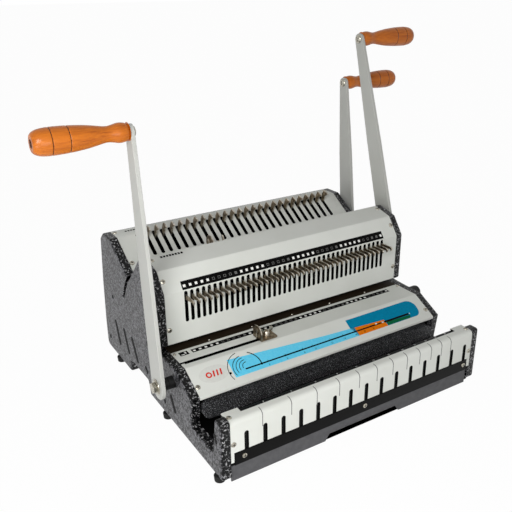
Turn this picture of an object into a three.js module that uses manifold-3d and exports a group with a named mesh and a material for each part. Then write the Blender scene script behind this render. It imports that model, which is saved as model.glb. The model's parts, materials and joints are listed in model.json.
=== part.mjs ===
// Wire binding machine: two punch throats, each with its own lever, and a wire closer in front.
// Millimetres, +Z up, +X to the user's right. The user stands on the -Y side.
import * as THREE from 'three';
import { mergeVertices } from 'three/addons/utils/BufferGeometryUtils.js';
import Module from 'manifold-3d';

const wasm = await Module();
wasm.setup();

// Clearances and stock
const seat = 0.3; // between pieces that rest on each other
const overrun = 4; // how far a cutter runs past the face that it opens
const coverSheet = 1.5;
const panelSheet = 2;
const coreSheet = 2.5;

// Width, measured from the middle plane
const panelOuter = 207;
const flangeWidth = 12;
const flangeInner = panelOuter - flangeWidth;
const webInner = panelOuter - panelSheet;
const coverHalf = flangeInner - seat;
const linedHalf = webInner - seat;

// Side view of the machine, as depth (Y) and height (Z)
const panelBottom = 9;
const wallFace = -162.5;
const wallTop = 88;
const wallRearTop = -147;
const channelFrontFoot = -139.5;
const channelFloor = 36.5;
const channelRearFoot = -84;
const barLift = 10;
const barHeight = 27;
const noseClearance = 3.8;
const noseRise = 21;
const noseDepth = -88.5;
const noseHeight = channelFloor + barLift + barHeight + noseClearance;
const deckBend = -49;
const deckHeight = noseHeight + noseRise;
const faceBend = 178.4;
const browDepth = 19.3;
const browHeight = 204.8;
const ridgeDepth = 51.5;
const ridgeHeight = 213;
const valleyDepth = 95;
const valleyHeight = 167;
const crownFront = 160;
const crownHeight = 206.5;
const crownRear = 190;
const shoulderDepth = 201.5;
const shoulderHeight = 196.5;
const backUpperDepth = 212;
const backUpperHeight = 124.5;
const backLowerDepth = 218.4;
const backLowerHeight = 55;
const backDepth = 219.4;
const archFront = 47;
const archRear = 119;
const archHeight = 30;
const archLean = 5;
const softCorner = 4;
const wallCorner = 6;
const heelCorner = 9;

// A punch unit, in its own frame: depth back from the cover's face, height above the die
const throat = 6;
const coverFoot = 8.5;
const mouthDepth = 10;
const sheetStop = 44;
const dieRear = 30;
const dieThin = 4;
const dieThick = 12;
const dieBlockHalf = 172;
const guideThick = 5;
const pinLine = 17;
const barThick = 10;
const barFoot = 20.5;
const barTop = 42;
const barHalf = 171;
const punchStroke = 9;
const shaftDepth = 53;
const shaftHeight = 52;
const shaftRadius = 7;
const camRadius = 14;
const camWidth = 16;
const camPlace = 110;
const camPlay = 0.6;
const lugWidth = 22;
const lugThick = 8;
const lugReach = 40;
const bearingRadius = 13;
const bearingWidth = 14;
const runningGap = 0.3;

// Front unit: three holes to the inch. Rear unit: two holes to the inch, tilted back.
const inch = 25.4;
const dieProud = 0.2;
const rearDieInset = 1.8;
const rearDieDrop = 1;
const frontUnit = {
  name: 'front',
  depth: 0,
  height: deckHeight + dieProud,
  tilt: 0,
  count: 40,
  pitch: inch / 3,
  pinSide: 4,
  slotWidth: 4.8,
  slotFoot: 35.5,
  slotTop: 79.4,
  dieLip: 6,
  leverAngle: 100,
  hookReach: 24.5,
  hookTop: 74.3,
  hookFoot: 67.2,
  hookTipHeight: 67.6,
};
const rearUnit = {
  name: 'rear',
  depth: valleyDepth + rearDieInset,
  height: valleyHeight - rearDieDrop,
  tilt: 57.7,
  count: 27,
  pitch: inch / 2,
  pinSide: 6.3,
  slotWidth: 5.6,
  slotFoot: 31.5,
  slotTop: 74.5,
  dieLip: 0.8,
  leverAngle: 71,
  hookReach: 21,
  hookTop: 71.6,
  hookFoot: 61.8,
  hookTipHeight: 60,
};
const hookPlate = 2;
const hookBarThick = 6;
const hookBarSpare = 3;
const hookCurlLength = 4;

// Deck slots and edge guides
const guideSlot = 6;
const guideSlotEnd = -58;
const deckSlotDepth = -35;
const rearSlotShare = 0.53;
const guideEdge = -79;
const guideFoot = 25;
const guideBreadth = 22;
const guidePlate = 1.6;
const guideHeight = 17.5;
const studRadius = 2.4;
const studPlace = 13;
const studHead = 5;
const studHeadThick = 2;
const nutRadius = 5.2;
const nutHeight = 6;
const wingReach = 11;
const wingTop = 11;
const wingThick = 2;

// Front wall, rail and drawer
const wallSlots = 15;
const wallSlotPitch = 25.4;
const wallRowShift = 4;
const wallSlotWidth = 6;
const wallSlotTop = 69;
const wallCoverDrop = 1;
const wallCoverTop = wallTop - wallCoverDrop;
const wallCoverFoot = 44;
const wallStripFoot = 31;
const wallStrip = 4;
const wallFlange = 13;
const wallTab = 21.5;
const anvilDepth = -141;
const coreFoot = 26;
const railFoot = 25.6;
const railTop = 43;
const railHalf = 190;
const railProud = 1.5;
const drawerLeft = -191;
const drawerRight = 188;
const drawerFoot = 3.5;
const drawerFront = -160.5;
const drawerFrontThick = 2;
const drawerGapUnderRail = 0.6;
const drawerRear = 62;
const trayHalf = 160;
const traySheet = 1.5;
const cutLeft = -58;
const cutRight = 65;
const cutHeight = 12;
const cutCorner = 8;

// Base, chute and feet
const baseFront = -118;
const baseRear = 216;
const baseSheet = 1.5;
const chuteTopDepth = 112;
const chuteTopHeight = 100;
const chuteFootDepth = 58;
const chuteFootHeight = 44;
const footRadius = 7.2;
const footWaist = 6.6;
const footOverhang = 2.7;
const footDepths = [-147, -2, 171];

// Closer: the lever's shaft turns a second shaft the other way, whose cranks push the bar
const closerDepth = -37;
const closerDrop = 21.3;
const closerHeight = deckHeight - closerDrop;
const gearModule = 1.9;
const leverTeeth = 18;
const crankTeeth = 16;
const tipShare = 0.2;
const rootShare = 0.56;
const addendumShare = 0.75;
const dedendumShare = 1.15;
const gearWidth = 5;
const crankRadius = 6;
const crankLength = 27;
const closerAngle = 84;
const crankAngle = closerAngle * leverTeeth / crankTeeth;
const crankPlate = 4;
const crankBoss = 9;
const crankTip = 5;
const pinRadius = 3.5;
const yokePlay = 1.2;
const barEndGap = 1.7;
const closingBarHalf = coverHalf - barEndGap;
const closingBarFoot = channelFloor + barLift;
const closingBarTop = closingBarFoot + barHeight;
const closingBarFace = -90.5;
const closingBarThick = 12;
const armInset = 17;
const armThick = 10;
const armOuter = closingBarHalf - armInset;
const armInner = armOuter - armThick;
const armDrop = 2.2;
const armHeight = 20.7;
const armFoot = closingBarFoot - armDrop;
const armTop = armFoot + armHeight;
const armRear = 27;
const armPlay = 1;
const linerDepth = -77;
const linerRise = 0.5;
const linerTop = closingBarTop + linerRise;
const bracketGap = 7;
const bracketInner = armOuter + bracketGap;
const bracketSheet = 5;
const bracketFront = -58;
const bracketRear = 26;
const bracketRise = 11;
const bracketTop = closerHeight + bracketRise;
const ledgeThick = 4;

// Levers and grips
const levers = {
  closer: { side: -1, arm: 17, length: 316, lean: 4 },
  front: { side: 1, arm: 17, length: 321, lean: 16.7 },
  rear: { side: 1, arm: 26, length: 237, lean: 5.5 },
};
const armSheet = 5;
const armPivotRadius = 17;
const armTopRadius = 8.5;
const armMiddle = 14.5;
const bushRadius = 9.3;
const boltRadius = 4;
const boltDepth = 15;
const washerRadius = 10;
const washerThick = 1.6;
const headRadius = 7.4;
const headHeight = 5;
const gripHeadRadius = 6.5;
const gripHeadHeight = 3;
const gripLength = 104;
const gripRadius = 15;
const gripLengthShares = [0, 0.02, 0.1, 0.15, 0.22, 0.32, 0.5, 0.66, 0.76, 0.88, 0.95, 0.985, 1];
const gripRadiusShares = [0.6, 0.7, 0.74, 0.7, 0.58, 0.64, 0.85, 0.97, 1, 0.94, 0.8, 0.62, 0.4];

// Size knob on the right side
const knobDepth = -20;
const knobDrop = 14.3;
const knobHeight = deckHeight - knobDrop;
const knobRadius = 12;
const knobReach = 25;
const knobRound = 2;
const knobStem = 4;
const knobStemLength = 8;

// Round sides, and how close two points count as one
const roundSides = 16;
const boreSides = 10;
const hexSides = 6;
const arcSteps = 3;
const slotEndShare = 0.3;
const sameSpot = 1e-4;

const finishes = {
  cover: { color: 0xd3d3cc, roughness: 0.5, metalness: 0 },
  hammer: { color: 0x4a4b4c, roughness: 0.45, metalness: 0.1 },
  black: { color: 0x141414, roughness: 0.6, metalness: 0 },
  blackPaint: { color: 0x1d1d1f, roughness: 0.5, metalness: 0 },
  steel: { color: 0x9a9a98, roughness: 0.35, metalness: 0.9 },
  die: { color: 0x2d261e, roughness: 0.4, metalness: 0.7 },
  bronze: { color: 0x8c7a5c, roughness: 0.35, metalness: 0.9 },
  lever: { color: 0xd0d0cb, roughness: 0.5, metalness: 0 },
  wood: { color: 0xc8702c, roughness: 0.4, metalness: 0 },
  rubber: { color: 0x101010, roughness: 0.9, metalness: 0 },
};

// Makes a solid from a closed geometry, with its faces pointing out.
function solidOf(geometry) {
  geometry.deleteAttribute('normal');
  geometry.deleteAttribute('uv');
  const merged = mergeVertices(geometry);
  const places = merged.attributes.position;
  const corners = [new THREE.Vector3(), new THREE.Vector3(), new THREE.Vector3()];
  const triangles = [];
  let volume = 0;
  for (let i = 0; i < merged.index.count; i += 3) {
    const face = [0, 1, 2].map((step) => merged.index.getX(i + step));
    if (new Set(face).size < 3) continue;
    face.forEach((vertex, step) => corners[step].fromBufferAttribute(places, vertex));
    volume += corners[0].dot(corners[1].clone().cross(corners[2]));
    triangles.push(face);
  }
  const outward = volume > 0 ? triangles : triangles.map((face) => face.reverse());
  return new wasm.Manifold(new wasm.Mesh({
    numProp: 3,
    vertProperties: new Float32Array(places.array),
    triVerts: new Uint32Array(outward.flat()),
  }));
}

function join(solids) {
  return solids.reduce((whole, solid) => whole.add(solid));
}

function cut(solid, cutters) {
  return cutters.length > 0 ? solid.subtract(join(cutters)) : solid;
}

function direction(from, to) {
  return new THREE.Vector2(to[0] - from[0], to[1] - from[1]).normalize();
}

// A shape from corners [across, up, radius], each radius rounding its corner with an arc.
function shapeOf(corners, steps = arcSteps) {
  const points = [];
  corners.forEach((corner, i) => {
    const [across, up, radius = 0] = corner;
    const spot = new THREE.Vector2(across, up);
    if (radius === 0) {
      points.push(spot);
      return;
    }
    const back = direction(corner, corners[(i + corners.length - 1) % corners.length]);
    const ahead = direction(corner, corners[(i + 1) % corners.length]);
    const half = Math.acos(back.dot(ahead)) / 2;
    const centre = back.clone().add(ahead).setLength(radius / Math.sin(half)).add(spot);
    const start = back.clone().multiplyScalar(radius / Math.tan(half)).add(spot);
    const turn = (Math.PI - half * 2) * Math.sign(ahead.cross(back));
    for (let step = 0; step <= steps; step += 1) {
      points.push(start.clone().rotateAround(centre, turn * step / steps));
    }
  });
  return new THREE.Shape(points.filter((point, i) => (
    point.distanceTo(points[(i + 1) % points.length]) > sameSpot)));
}

// Moves corners to the left of their direction of travel, with mitres.
function offset(corners, distance, closed = false) {
  const count = corners.length;
  return corners.map((corner, i) => {
    const [across, up, radius = 0] = corner;
    const before = closed || i > 0 ? corners[(i + count - 1) % count] : null;
    const after = closed || i < count - 1 ? corners[(i + 1) % count] : null;
    const into = before ? direction(before, corner) : direction(corner, after);
    const out = after ? direction(corner, after) : into;
    const scale = distance / (1 + into.dot(out));
    const turned = Math.max(radius - Math.sign(into.cross(out)) * distance, 0);
    return [
      across - (into.y + out.y) * scale,
      up + (into.x + out.x) * scale,
      radius > 0 ? turned : 0,
    ];
  });
}

// A folded sheet's section: the shown face's corners, with the thickness to their left.
function folded(corners, thickness) {
  return shapeOf([...corners, ...offset(corners, thickness).reverse()]);
}

function extruded(shape, depth) {
  return new THREE.ExtrudeGeometry(shape, { depth, bevelEnabled: false, curveSegments: arcSteps });
}

// Sections carried along one axis, from a low to a high place on it
const sideView = new THREE.Matrix4().makeBasis(
  new THREE.Vector3(0, 1, 0), new THREE.Vector3(0, 0, 1), new THREE.Vector3(1, 0, 0));
const frontView = new THREE.Matrix4().makeBasis(
  new THREE.Vector3(1, 0, 0), new THREE.Vector3(0, 0, 1), new THREE.Vector3(0, -1, 0));

function alongX(shape, from, to) {
  return solidOf(extruded(shape, to - from).applyMatrix4(sideView).translate(from, 0, 0));
}

function alongY(shape, from, to) {
  return solidOf(extruded(shape, to - from).applyMatrix4(frontView).translate(0, to, 0));
}

function block(x, y, z) {
  const size = [x, y, z].map(([low, high]) => high - low);
  const middle = [x, y, z].map(([low, high]) => (low + high) / 2);
  return solidOf(new THREE.BoxGeometry(...size).translate(...middle));
}

// The same span on either side of the middle plane: side 1 is right, side -1 is left.
function span(side, near, far) {
  return side > 0 ? [near, far] : [-far, -near];
}

// A round bar along X
function bar(radius, depth, height, [from, to], sides = roundSides) {
  const geometry = new THREE.CylinderGeometry(radius, radius, to - from, sides);
  return solidOf(geometry.rotateZ(Math.PI / 2).translate((from + to) / 2, depth, height));
}

// A round bar along Z
function post(radius, across, low, high) {
  const geometry = new THREE.CylinderGeometry(radius, radius, high - low, roundSides);
  return solidOf(geometry.rotateX(Math.PI / 2).translate(across, 0, (low + high) / 2));
}

// A turned piece from [distance, radius] points, its axis along X and growing to that side
function turned(points, side, sides = roundSides) {
  const geometry = new THREE.LatheGeometry(
    points.map(([distance, radius]) => new THREE.Vector2(radius, distance)), sides);
  return solidOf(geometry.rotateZ(-side * Math.PI / 2));
}

function ring(outer, inner, length, side, sides = roundSides) {
  const points = [[0, inner], [0, outer], [length, outer], [length, inner], [0, inner]];
  return turned(points, side, sides);
}

// Adds a solid to a group as a named mesh with its own material.
function place(group, name, solid, finish) {
  const { vertProperties, triVerts } = solid.getMesh();
  const geometry = new THREE.BufferGeometry();
  geometry.setAttribute('position', new THREE.BufferAttribute(new Float32Array(vertProperties), 3));
  geometry.setIndex(new THREE.BufferAttribute(new Uint32Array(triVerts), 1));
  geometry.computeVertexNormals();
  const mesh = new THREE.Mesh(geometry, new THREE.MeshStandardMaterial(finish));
  mesh.name = name;
  group.add(mesh);
}

function unitFrame(unit) {
  const group = new THREE.Group();
  group.position.set(0, unit.depth, unit.height);
  group.rotation.x = -THREE.MathUtils.degToRad(unit.tilt);
  group.updateMatrix();
  return group;
}

// A point of a punch unit, as depth and height in the machine
function fromUnit(unit, depth, height) {
  const point = new THREE.Vector3(0, depth, height).applyMatrix4(unitFrame(unit).matrix);
  return [point.y, point.z];
}

function placedIn(unit, solid) {
  return solid.transform(unitFrame(unit).matrix.toArray());
}

// Places of a row of holes along X
function rowOf(count, pitch, middle = 0) {
  return Array.from({ length: count }, (_, i) => middle + (i - (count - 1) / 2) * pitch);
}

// Pivots of the three levers, as depth and height
const frontPivot = fromUnit(frontUnit, shaftDepth, shaftHeight);
const rearPivot = fromUnit(rearUnit, shaftDepth, shaftHeight);
const closerPivot = [closerDepth, closerHeight];

// Side panels: folded pans with a flange all round
function sidePanel(side) {
  const corners = [
    [wallFace, panelBottom, softCorner],
    [archFront, panelBottom, softCorner],
    [archFront + archLean, archHeight, softCorner],
    [archRear - archLean, archHeight, softCorner],
    [archRear, panelBottom, softCorner],
    [backDepth, panelBottom, heelCorner],
    [backLowerDepth, backLowerHeight],
    [backUpperDepth, backUpperHeight],
    [shoulderDepth, shoulderHeight, softCorner],
    [crownRear, crownHeight, softCorner],
    [crownFront, crownHeight, softCorner],
    [valleyDepth, valleyHeight],
    [ridgeDepth, ridgeHeight],
    [browDepth, browHeight, softCorner],
    [0, faceBend],
    [0, frontUnit.height + coverFoot],
    [mouthDepth, deckHeight],
    [deckBend, deckHeight],
    [noseDepth, noseHeight],
    [channelRearFoot, channelFloor, softCorner],
    [channelFrontFoot, channelFloor, softCorner],
    [wallRearTop, wallTop, softCorner],
    [wallFace, wallTop, softCorner],
  ];
  const pan = alongX(shapeOf(corners), ...span(side, flangeInner, panelOuter));
  const inside = shapeOf(offset(corners, panelSheet, true));
  const hollow = alongX(inside, ...span(side, flangeInner - overrun, webInner));
  const through = span(side, flangeInner - overrun, panelOuter + overrun);
  const slits = [frontUnit, rearUnit].map((unit) => placedIn(
    unit, block(through, [-overrun, sheetStop], [unit.tilt > 0 ? -seat : 0, throat])));
  const pivots = side > 0 ? [frontPivot, rearPivot] : [closerPivot];
  const bores = pivots.map((pivot) => bar(shaftRadius + runningGap, ...pivot, through));
  if (side > 0) bores.push(bar(knobStem + runningGap, knobDepth, knobHeight, through));
  return cut(pan, [hollow, ...slits, ...bores]);
}

// Covers
function slotCutter(unit, at) {
  const half = unit.slotWidth / 2;
  const round = unit.slotWidth * slotEndShare;
  const corners = [
    [at - half, unit.slotFoot, round],
    [at + half, unit.slotFoot, round],
    [at + half, unit.slotTop, round],
    [at - half, unit.slotTop, round],
  ];
  return placedIn(unit, alongY(shapeOf(corners, 1), -overrun, overrun));
}

function punchCover(unit, corners) {
  const sheet = alongX(folded(corners, coverSheet), -coverHalf, coverHalf);
  return cut(sheet, rowOf(unit.count, unit.pitch).map((at) => slotCutter(unit, at)));
}

function frontCover() {
  return punchCover(frontUnit, [
    [ridgeDepth - seat, ridgeHeight],
    [browDepth, browHeight, coverSheet * 2],
    [0, faceBend],
    fromUnit(frontUnit, 0, coverFoot),
  ]);
}

function rearCover() {
  return punchCover(rearUnit, [
    [shoulderDepth, shoulderHeight],
    [crownRear, crownHeight, softCorner],
    [crownFront, crownHeight],
    fromUnit(rearUnit, 0, coverFoot),
  ]);
}

function backCover() {
  const corners = [
    [backDepth, panelBottom + heelCorner],
    [backLowerDepth, backLowerHeight],
    [backUpperDepth, backUpperHeight],
    [shoulderDepth + seat, shoulderHeight - coverSheet - seat * 2],
  ];
  return alongX(folded(corners, coverSheet), -coverHalf, coverHalf);
}

// The frame of a deck, at the middle of its guide slot, its height square to the deck
const rearDeckAngle = Math.atan2(ridgeHeight - valleyHeight, valleyDepth - ridgeDepth);
const deckFrame = { name: 'front', depth: deckSlotDepth, height: deckHeight, tilt: 0 };
const rearDeckFrame = {
  name: 'rear',
  depth: THREE.MathUtils.lerp(ridgeDepth, valleyDepth, rearSlotShare),
  height: THREE.MathUtils.lerp(ridgeHeight, valleyHeight, rearSlotShare),
  tilt: THREE.MathUtils.radToDeg(rearDeckAngle),
};

function deckSlot(frame) {
  const half = guideSlot / 2;
  const reach = [-coverHalf - overrun, guideSlotEnd];
  return placedIn(frame, block(reach, [-half, half], [-overrun, overrun]));
}

function rearDeck() {
  const corners = [
    [valleyDepth - seat * 2, valleyHeight + seat * 2],
    [ridgeDepth + coverSheet, ridgeHeight - coverSheet],
  ];
  return cut(alongX(folded(corners, coverSheet), -coverHalf, coverHalf), [deckSlot(rearDeckFrame)]);
}

function deckCover() {
  const corners = [
    [-frontUnit.dieLip - seat, deckHeight],
    [deckBend, deckHeight, coverSheet * 2],
    [noseDepth, noseHeight, coverSheet],
    [noseDepth, closingBarTop + seat],
  ];
  return cut(alongX(folded(corners, coverSheet), -coverHalf, coverHalf), [deckSlot(deckFrame)]);
}

function wallCover() {
  const corners = [
    [anvilDepth, wallCoverTop],
    [wallFace, wallCoverTop, wallCorner],
    [wallFace, wallStripFoot],
  ];
  const front = [wallFace - overrun, wallFace + overrun];
  const between = coverHalf - wallTab;
  const flangeCut = block(
    [-between, between], [wallFace + wallFlange, anvilDepth + overrun],
    [wallCoverTop - overrun, wallCoverTop + overrun]);
  const stripInner = coverHalf - wallStrip;
  const footCut = block([-stripInner, stripInner], front, [wallStripFoot - overrun, wallCoverFoot]);
  const half = wallSlotWidth / 2;
  const slots = rowOf(wallSlots, wallSlotPitch, wallRowShift).map((at) => alongY(shapeOf([
    [at - half, wallStripFoot],
    [at + half, wallStripFoot],
    [at + half, wallSlotTop, half],
    [at - half, wallSlotTop, half],
  ]), ...front));
  const sheet = alongX(folded(corners, coverSheet), -coverHalf, coverHalf);
  return cut(sheet, [flangeCut, footCut, ...slots]);
}

// Front wall's core, an upturned channel whose rear face is the anvil
function wallCore() {
  const front = wallFace + coverSheet + seat;
  const top = wallCoverTop - coverSheet - seat;
  const corners = [
    [anvilDepth, channelFloor + seat],
    [anvilDepth, top, coreSheet],
    [front, top, wallCorner - coverSheet],
    [front, coreFoot],
  ];
  return alongX(folded(corners, coreSheet), -coverHalf, coverHalf);
}

function frontRail() {
  const rear = wallFace + coverSheet;
  return block([-railHalf, railHalf], [wallFace - railProud, rear], [railFoot, railTop]);
}

function channelLiner() {
  const corners = [
    [linerDepth, linerTop],
    [linerDepth, channelFloor - seat],
    [anvilDepth + seat, channelFloor - seat],
  ];
  const windows = [-1, 1].map((side) => block(
    span(side, armInner - armPlay, armOuter + armPlay),
    [linerDepth - overrun, linerDepth + overrun],
    [armFoot - armPlay, armTop + armPlay]));
  return cut(alongX(folded(corners, coverSheet), -coverHalf, coverHalf), windows);
}

function basePlate() {
  const low = panelBottom + seat;
  return block([-coverHalf, coverHalf], [baseFront, baseRear], [low, low + baseSheet]);
}

function chipChute() {
  const corners = [
    [chuteTopDepth, chuteTopHeight],
    [chuteFootDepth, chuteFootHeight],
  ];
  return alongX(folded(corners, coverSheet), -linedHalf, linedHalf);
}

// Punch unit pieces, in the unit's frame
function holeCutters(unit, low, high) {
  const half = unit.pinSide / 2 + runningGap;
  return rowOf(unit.count, unit.pitch).map((at) => block(
    [at - half, at + half], [pinLine - half, pinLine + half], [low - overrun, high + overrun]));
}

function diePlate(unit) {
  const depth = [-unit.dieLip, dieRear];
  const plate = block([-coverHalf, coverHalf], depth, [-dieThin, 0]);
  const lower = block([-dieBlockHalf, dieBlockHalf], depth, [-dieThick, -dieThin]);
  return cut(join([plate, lower]), holeCutters(unit, -dieThick, 0));
}

function punchGuide(unit) {
  const depth = [coverSheet + seat, dieRear];
  const plate = block([-coverHalf, coverHalf], depth, [throat, throat + guideThick]);
  return cut(plate, holeCutters(unit, throat, throat + guideThick));
}

function punchBar(unit) {
  const half = unit.pinSide / 2;
  const depth = [pinLine - barThick / 2, pinLine + barThick / 2];
  const body = block([-barHalf, barHalf], depth, [barFoot, barTop]);
  const pins = rowOf(unit.count, unit.pitch).map((at) => block(
    [at - half, at + half], [pinLine - half, pinLine + half], [throat + seat, barFoot + seat]));
  const lugs = [-1, 1].map((side) => block(
    span(side, camPlace - lugWidth / 2, camPlace + lugWidth / 2),
    [pinLine, pinLine + lugReach], [barTop - lugThick, barTop]));
  return join([body, ...lugs, ...pins]);
}

function camShaft(unit, outerEnd) {
  const halfTravel = THREE.MathUtils.degToRad(unit.leverAngle / 2);
  const throwOfCam = punchStroke / 2 / Math.sin(halfTravel);
  const middle = barTop + camPlay - punchStroke / 2 + camRadius;
  const shaft = bar(shaftRadius, shaftDepth, shaftHeight, [-linedHalf + seat, outerEnd]);
  const rise = throwOfCam * Math.cos(Math.PI / 2 - halfTravel);
  const lead = throwOfCam * Math.sin(Math.PI / 2 - halfTravel);
  const cams = [-1, 1].map((side) => bar(
    camRadius, shaftDepth - lead, middle + rise,
    span(side, camPlace - camWidth / 2, camPlace + camWidth / 2)));
  const hole = [outerEnd - boltDepth, outerEnd + overrun];
  const bore = bar(boltRadius + seat, shaftDepth, shaftHeight, hole, boreSides);
  return cut(join([shaft, ...cams]), [bore]);
}

function shaftBearing() {
  return ring(bearingRadius, shaftRadius + runningGap, bearingWidth, 1)
    .translate([-linedHalf, shaftDepth, shaftHeight]);
}

// A row of wire hooks, cut from plate and fixed to one bar behind the cover
function hookRow(unit) {
  const front = coverSheet + seat;
  const spare = unit.pitch / 2;
  const half = (unit.count - 1) / 2 * unit.pitch + spare;
  const rail = block(
    [-half, half], [front, front + hookBarThick],
    [unit.hookFoot - hookBarSpare, unit.hookTop + hookBarSpare]);
  const outline = [
    [front + seat, unit.hookTop],
    [-unit.hookReach + hookCurlLength, unit.hookTop],
    [-unit.hookReach, unit.hookTop - hookCurlLength / 2],
    [-unit.hookReach, unit.hookTipHeight],
    [-unit.hookReach + hookCurlLength, unit.hookTop - hookCurlLength],
    [-unit.hookReach + hookCurlLength * 2, unit.hookFoot + hookCurlLength / 4],
    [front + seat, unit.hookFoot],
  ];
  const hooks = rowOf(unit.count, unit.pitch).map((at) => alongX(
    shapeOf(outline), at - hookPlate / 2, at + hookPlate / 2));
  return join([rail, ...hooks]);
}

// Edge guide: a bracket with a round-topped fence, on a stud through the deck's slot
function edgeGuide() {
  const half = guideBreadth / 2;
  const foot = block([guideEdge, guideEdge + guideFoot], [-half, half], [seat, seat + guidePlate]);
  const fence = alongX(shapeOf([
    [-half, seat],
    [half, seat],
    [half, guideHeight, half],
    [-half, guideHeight, half],
  ]), guideEdge, guideEdge + guidePlate);
  const at = guideEdge + studPlace;
  const under = coverSheet + seat;
  const low = -under - studHeadThick / 2;
  const high = seat * 2 + guidePlate + nutHeight;
  const head = block(
    [at - studHead, at + studHead], [-studHead / 2, studHead / 2], [-under - studHeadThick, -under]);
  const shank = post(studRadius, at, low, high);
  return join([foot, fence, head, shank]);
}

function wingNut() {
  const low = seat + guidePlate + seat;
  const at = guideEdge + studPlace;
  const wings = [-1, 1].map((side) => alongY(shapeOf([
    [at, low],
    [at + side * nutRadius, low],
    [at + side * wingReach, low + wingTop, wingThick],
    [at + side * nutRadius, low + wingTop, wingThick],
    [at, low + nutHeight],
  ]), -wingThick / 2, wingThick / 2));
  const body = join([post(nutRadius, at, low, low + nutHeight), ...wings]);
  return cut(body, [post(studRadius + runningGap, at, low - overrun, low + wingTop + overrun)]);
}

// Chip drawer: an open tray behind a front plate with an arch cut from its lower edge
function chipDrawer() {
  const front = drawerFront;
  const rear = front + drawerFrontThick;
  const top = railFoot - drawerGapUnderRail;
  const low = panelBottom + seat + baseSheet + seat;
  const plate = alongY(shapeOf([
    [drawerLeft, drawerFoot],
    [cutLeft, drawerFoot],
    [cutLeft + cutCorner, drawerFoot + cutHeight, cutCorner],
    [cutRight - cutCorner, drawerFoot + cutHeight, cutCorner],
    [cutRight, drawerFoot],
    [drawerRight, drawerFoot],
    [drawerRight, top],
    [drawerLeft, top],
  ]), front, rear);
  const tray = block([-trayHalf, trayHalf], [rear - seat, drawerRear], [low, top - seat]);
  const hollow = block(
    [-trayHalf + traySheet, trayHalf - traySheet], [rear, drawerRear - traySheet],
    [low + traySheet, top + overrun]);
  return join([plate, cut(tray, [hollow])]);
}

// Closer
function gear(teeth, firstTooth, depth, height, [from, to], boreRadius) {
  const pitchRadius = gearModule * teeth / 2;
  const tip = pitchRadius + gearModule * addendumShare;
  const root = pitchRadius - gearModule * dedendumShare;
  const step = Math.PI * 2 / teeth;
  const flank = [[rootShare, root], [tipShare, tip]];
  const sides = [...flank.map(([share, radius]) => [-share, radius]), ...flank.reverse()];
  const corners = [];
  for (let tooth = 0; tooth < teeth; tooth += 1) {
    sides.forEach(([share, radius]) => {
      const angle = firstTooth + (tooth + share / 2) * step;
      corners.push([depth + Math.cos(angle) * radius, height + Math.sin(angle) * radius]);
    });
  }
  return cut(alongX(shapeOf(corners), from, to), [
    bar(boreRadius, depth, height, [from - overrun, to + overrun])]);
}

const shaftSpacing = gearModule * (leverTeeth + crankTeeth) / 2;
const crankDepth = closerDepth + shaftSpacing;
const gearSpan = [-bracketInner - bracketSheet - runningGap * 2 - gearWidth,
  -bracketInner - bracketSheet - runningGap * 2];

function closerShaft(outerEnd) {
  const shaft = bar(shaftRadius, closerDepth, closerHeight, [outerEnd, bracketInner + bracketSheet]);
  const hole = [outerEnd - overrun, outerEnd + boltDepth];
  const bore = bar(boltRadius + seat, closerDepth, closerHeight, hole, boreSides);
  return cut(shaft, [bore]);
}

function crankshaft() {
  const rest = THREE.MathUtils.degToRad(crankAngle / 2);
  const pinDepth = crankDepth + crankLength * Math.sin(rest);
  const pinHeight = closerHeight - crankLength * Math.cos(rest);
  const shaft = bar(crankRadius, crankDepth, closerHeight, [gearSpan[0], bracketInner + bracketSheet]);
  const cranks = [-1, 1].flatMap((side) => {
    const web = span(side, bracketInner - seat - crankPlate, bracketInner - seat);
    const along = direction([crankDepth, closerHeight], [pinDepth, pinHeight]);
    const corners = [
      [crankDepth - along.y * crankBoss, closerHeight + along.x * crankBoss, crankTip],
      [crankDepth + along.y * crankBoss, closerHeight - along.x * crankBoss, crankTip],
      [pinDepth + (along.x + along.y) * crankTip, pinHeight + (along.y - along.x) * crankTip, crankTip],
      [pinDepth + (along.x - along.y) * crankTip, pinHeight + (along.y + along.x) * crankTip, crankTip],
    ];
    const boss = bar(crankBoss, crankDepth, closerHeight, web);
    const pin = bar(pinRadius, pinDepth, pinHeight, span(side, armInner, bracketInner - seat));
    return [boss, alongX(shapeOf(corners), ...web), pin];
  });
  return join([shaft, ...cranks]);
}

function closingBar() {
  const radius = (closingBarTop - closingBarFoot) / 2;
  const outline = shapeOf([
    [-closingBarHalf, closingBarFoot, radius],
    [closingBarHalf, closingBarFoot, radius],
    [closingBarHalf, closingBarTop, radius],
    [-closingBarHalf, closingBarTop, radius],
  ]);
  const rear = closingBarFace + closingBarThick;
  const rest = THREE.MathUtils.degToRad(crankAngle / 2);
  const pinDepth = crankDepth + crankLength * Math.sin(rest);
  const slotHalf = pinRadius + yokePlay;
  const slotTop = closerHeight - crankLength * Math.cos(rest) + slotHalf;
  const slotFoot = closerHeight - crankLength - pinRadius - seat;
  const arms = [-1, 1].map((side) => cut(
    block(span(side, armInner, armOuter), [rear - seat, armRear], [armFoot, armTop]),
    [block(
      span(side, armInner - overrun, armOuter + overrun),
      [pinDepth - slotHalf, pinDepth + slotHalf], [slotFoot, slotTop])]));
  return join([alongY(outline, closingBarFace, rear), ...arms]);
}

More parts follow.
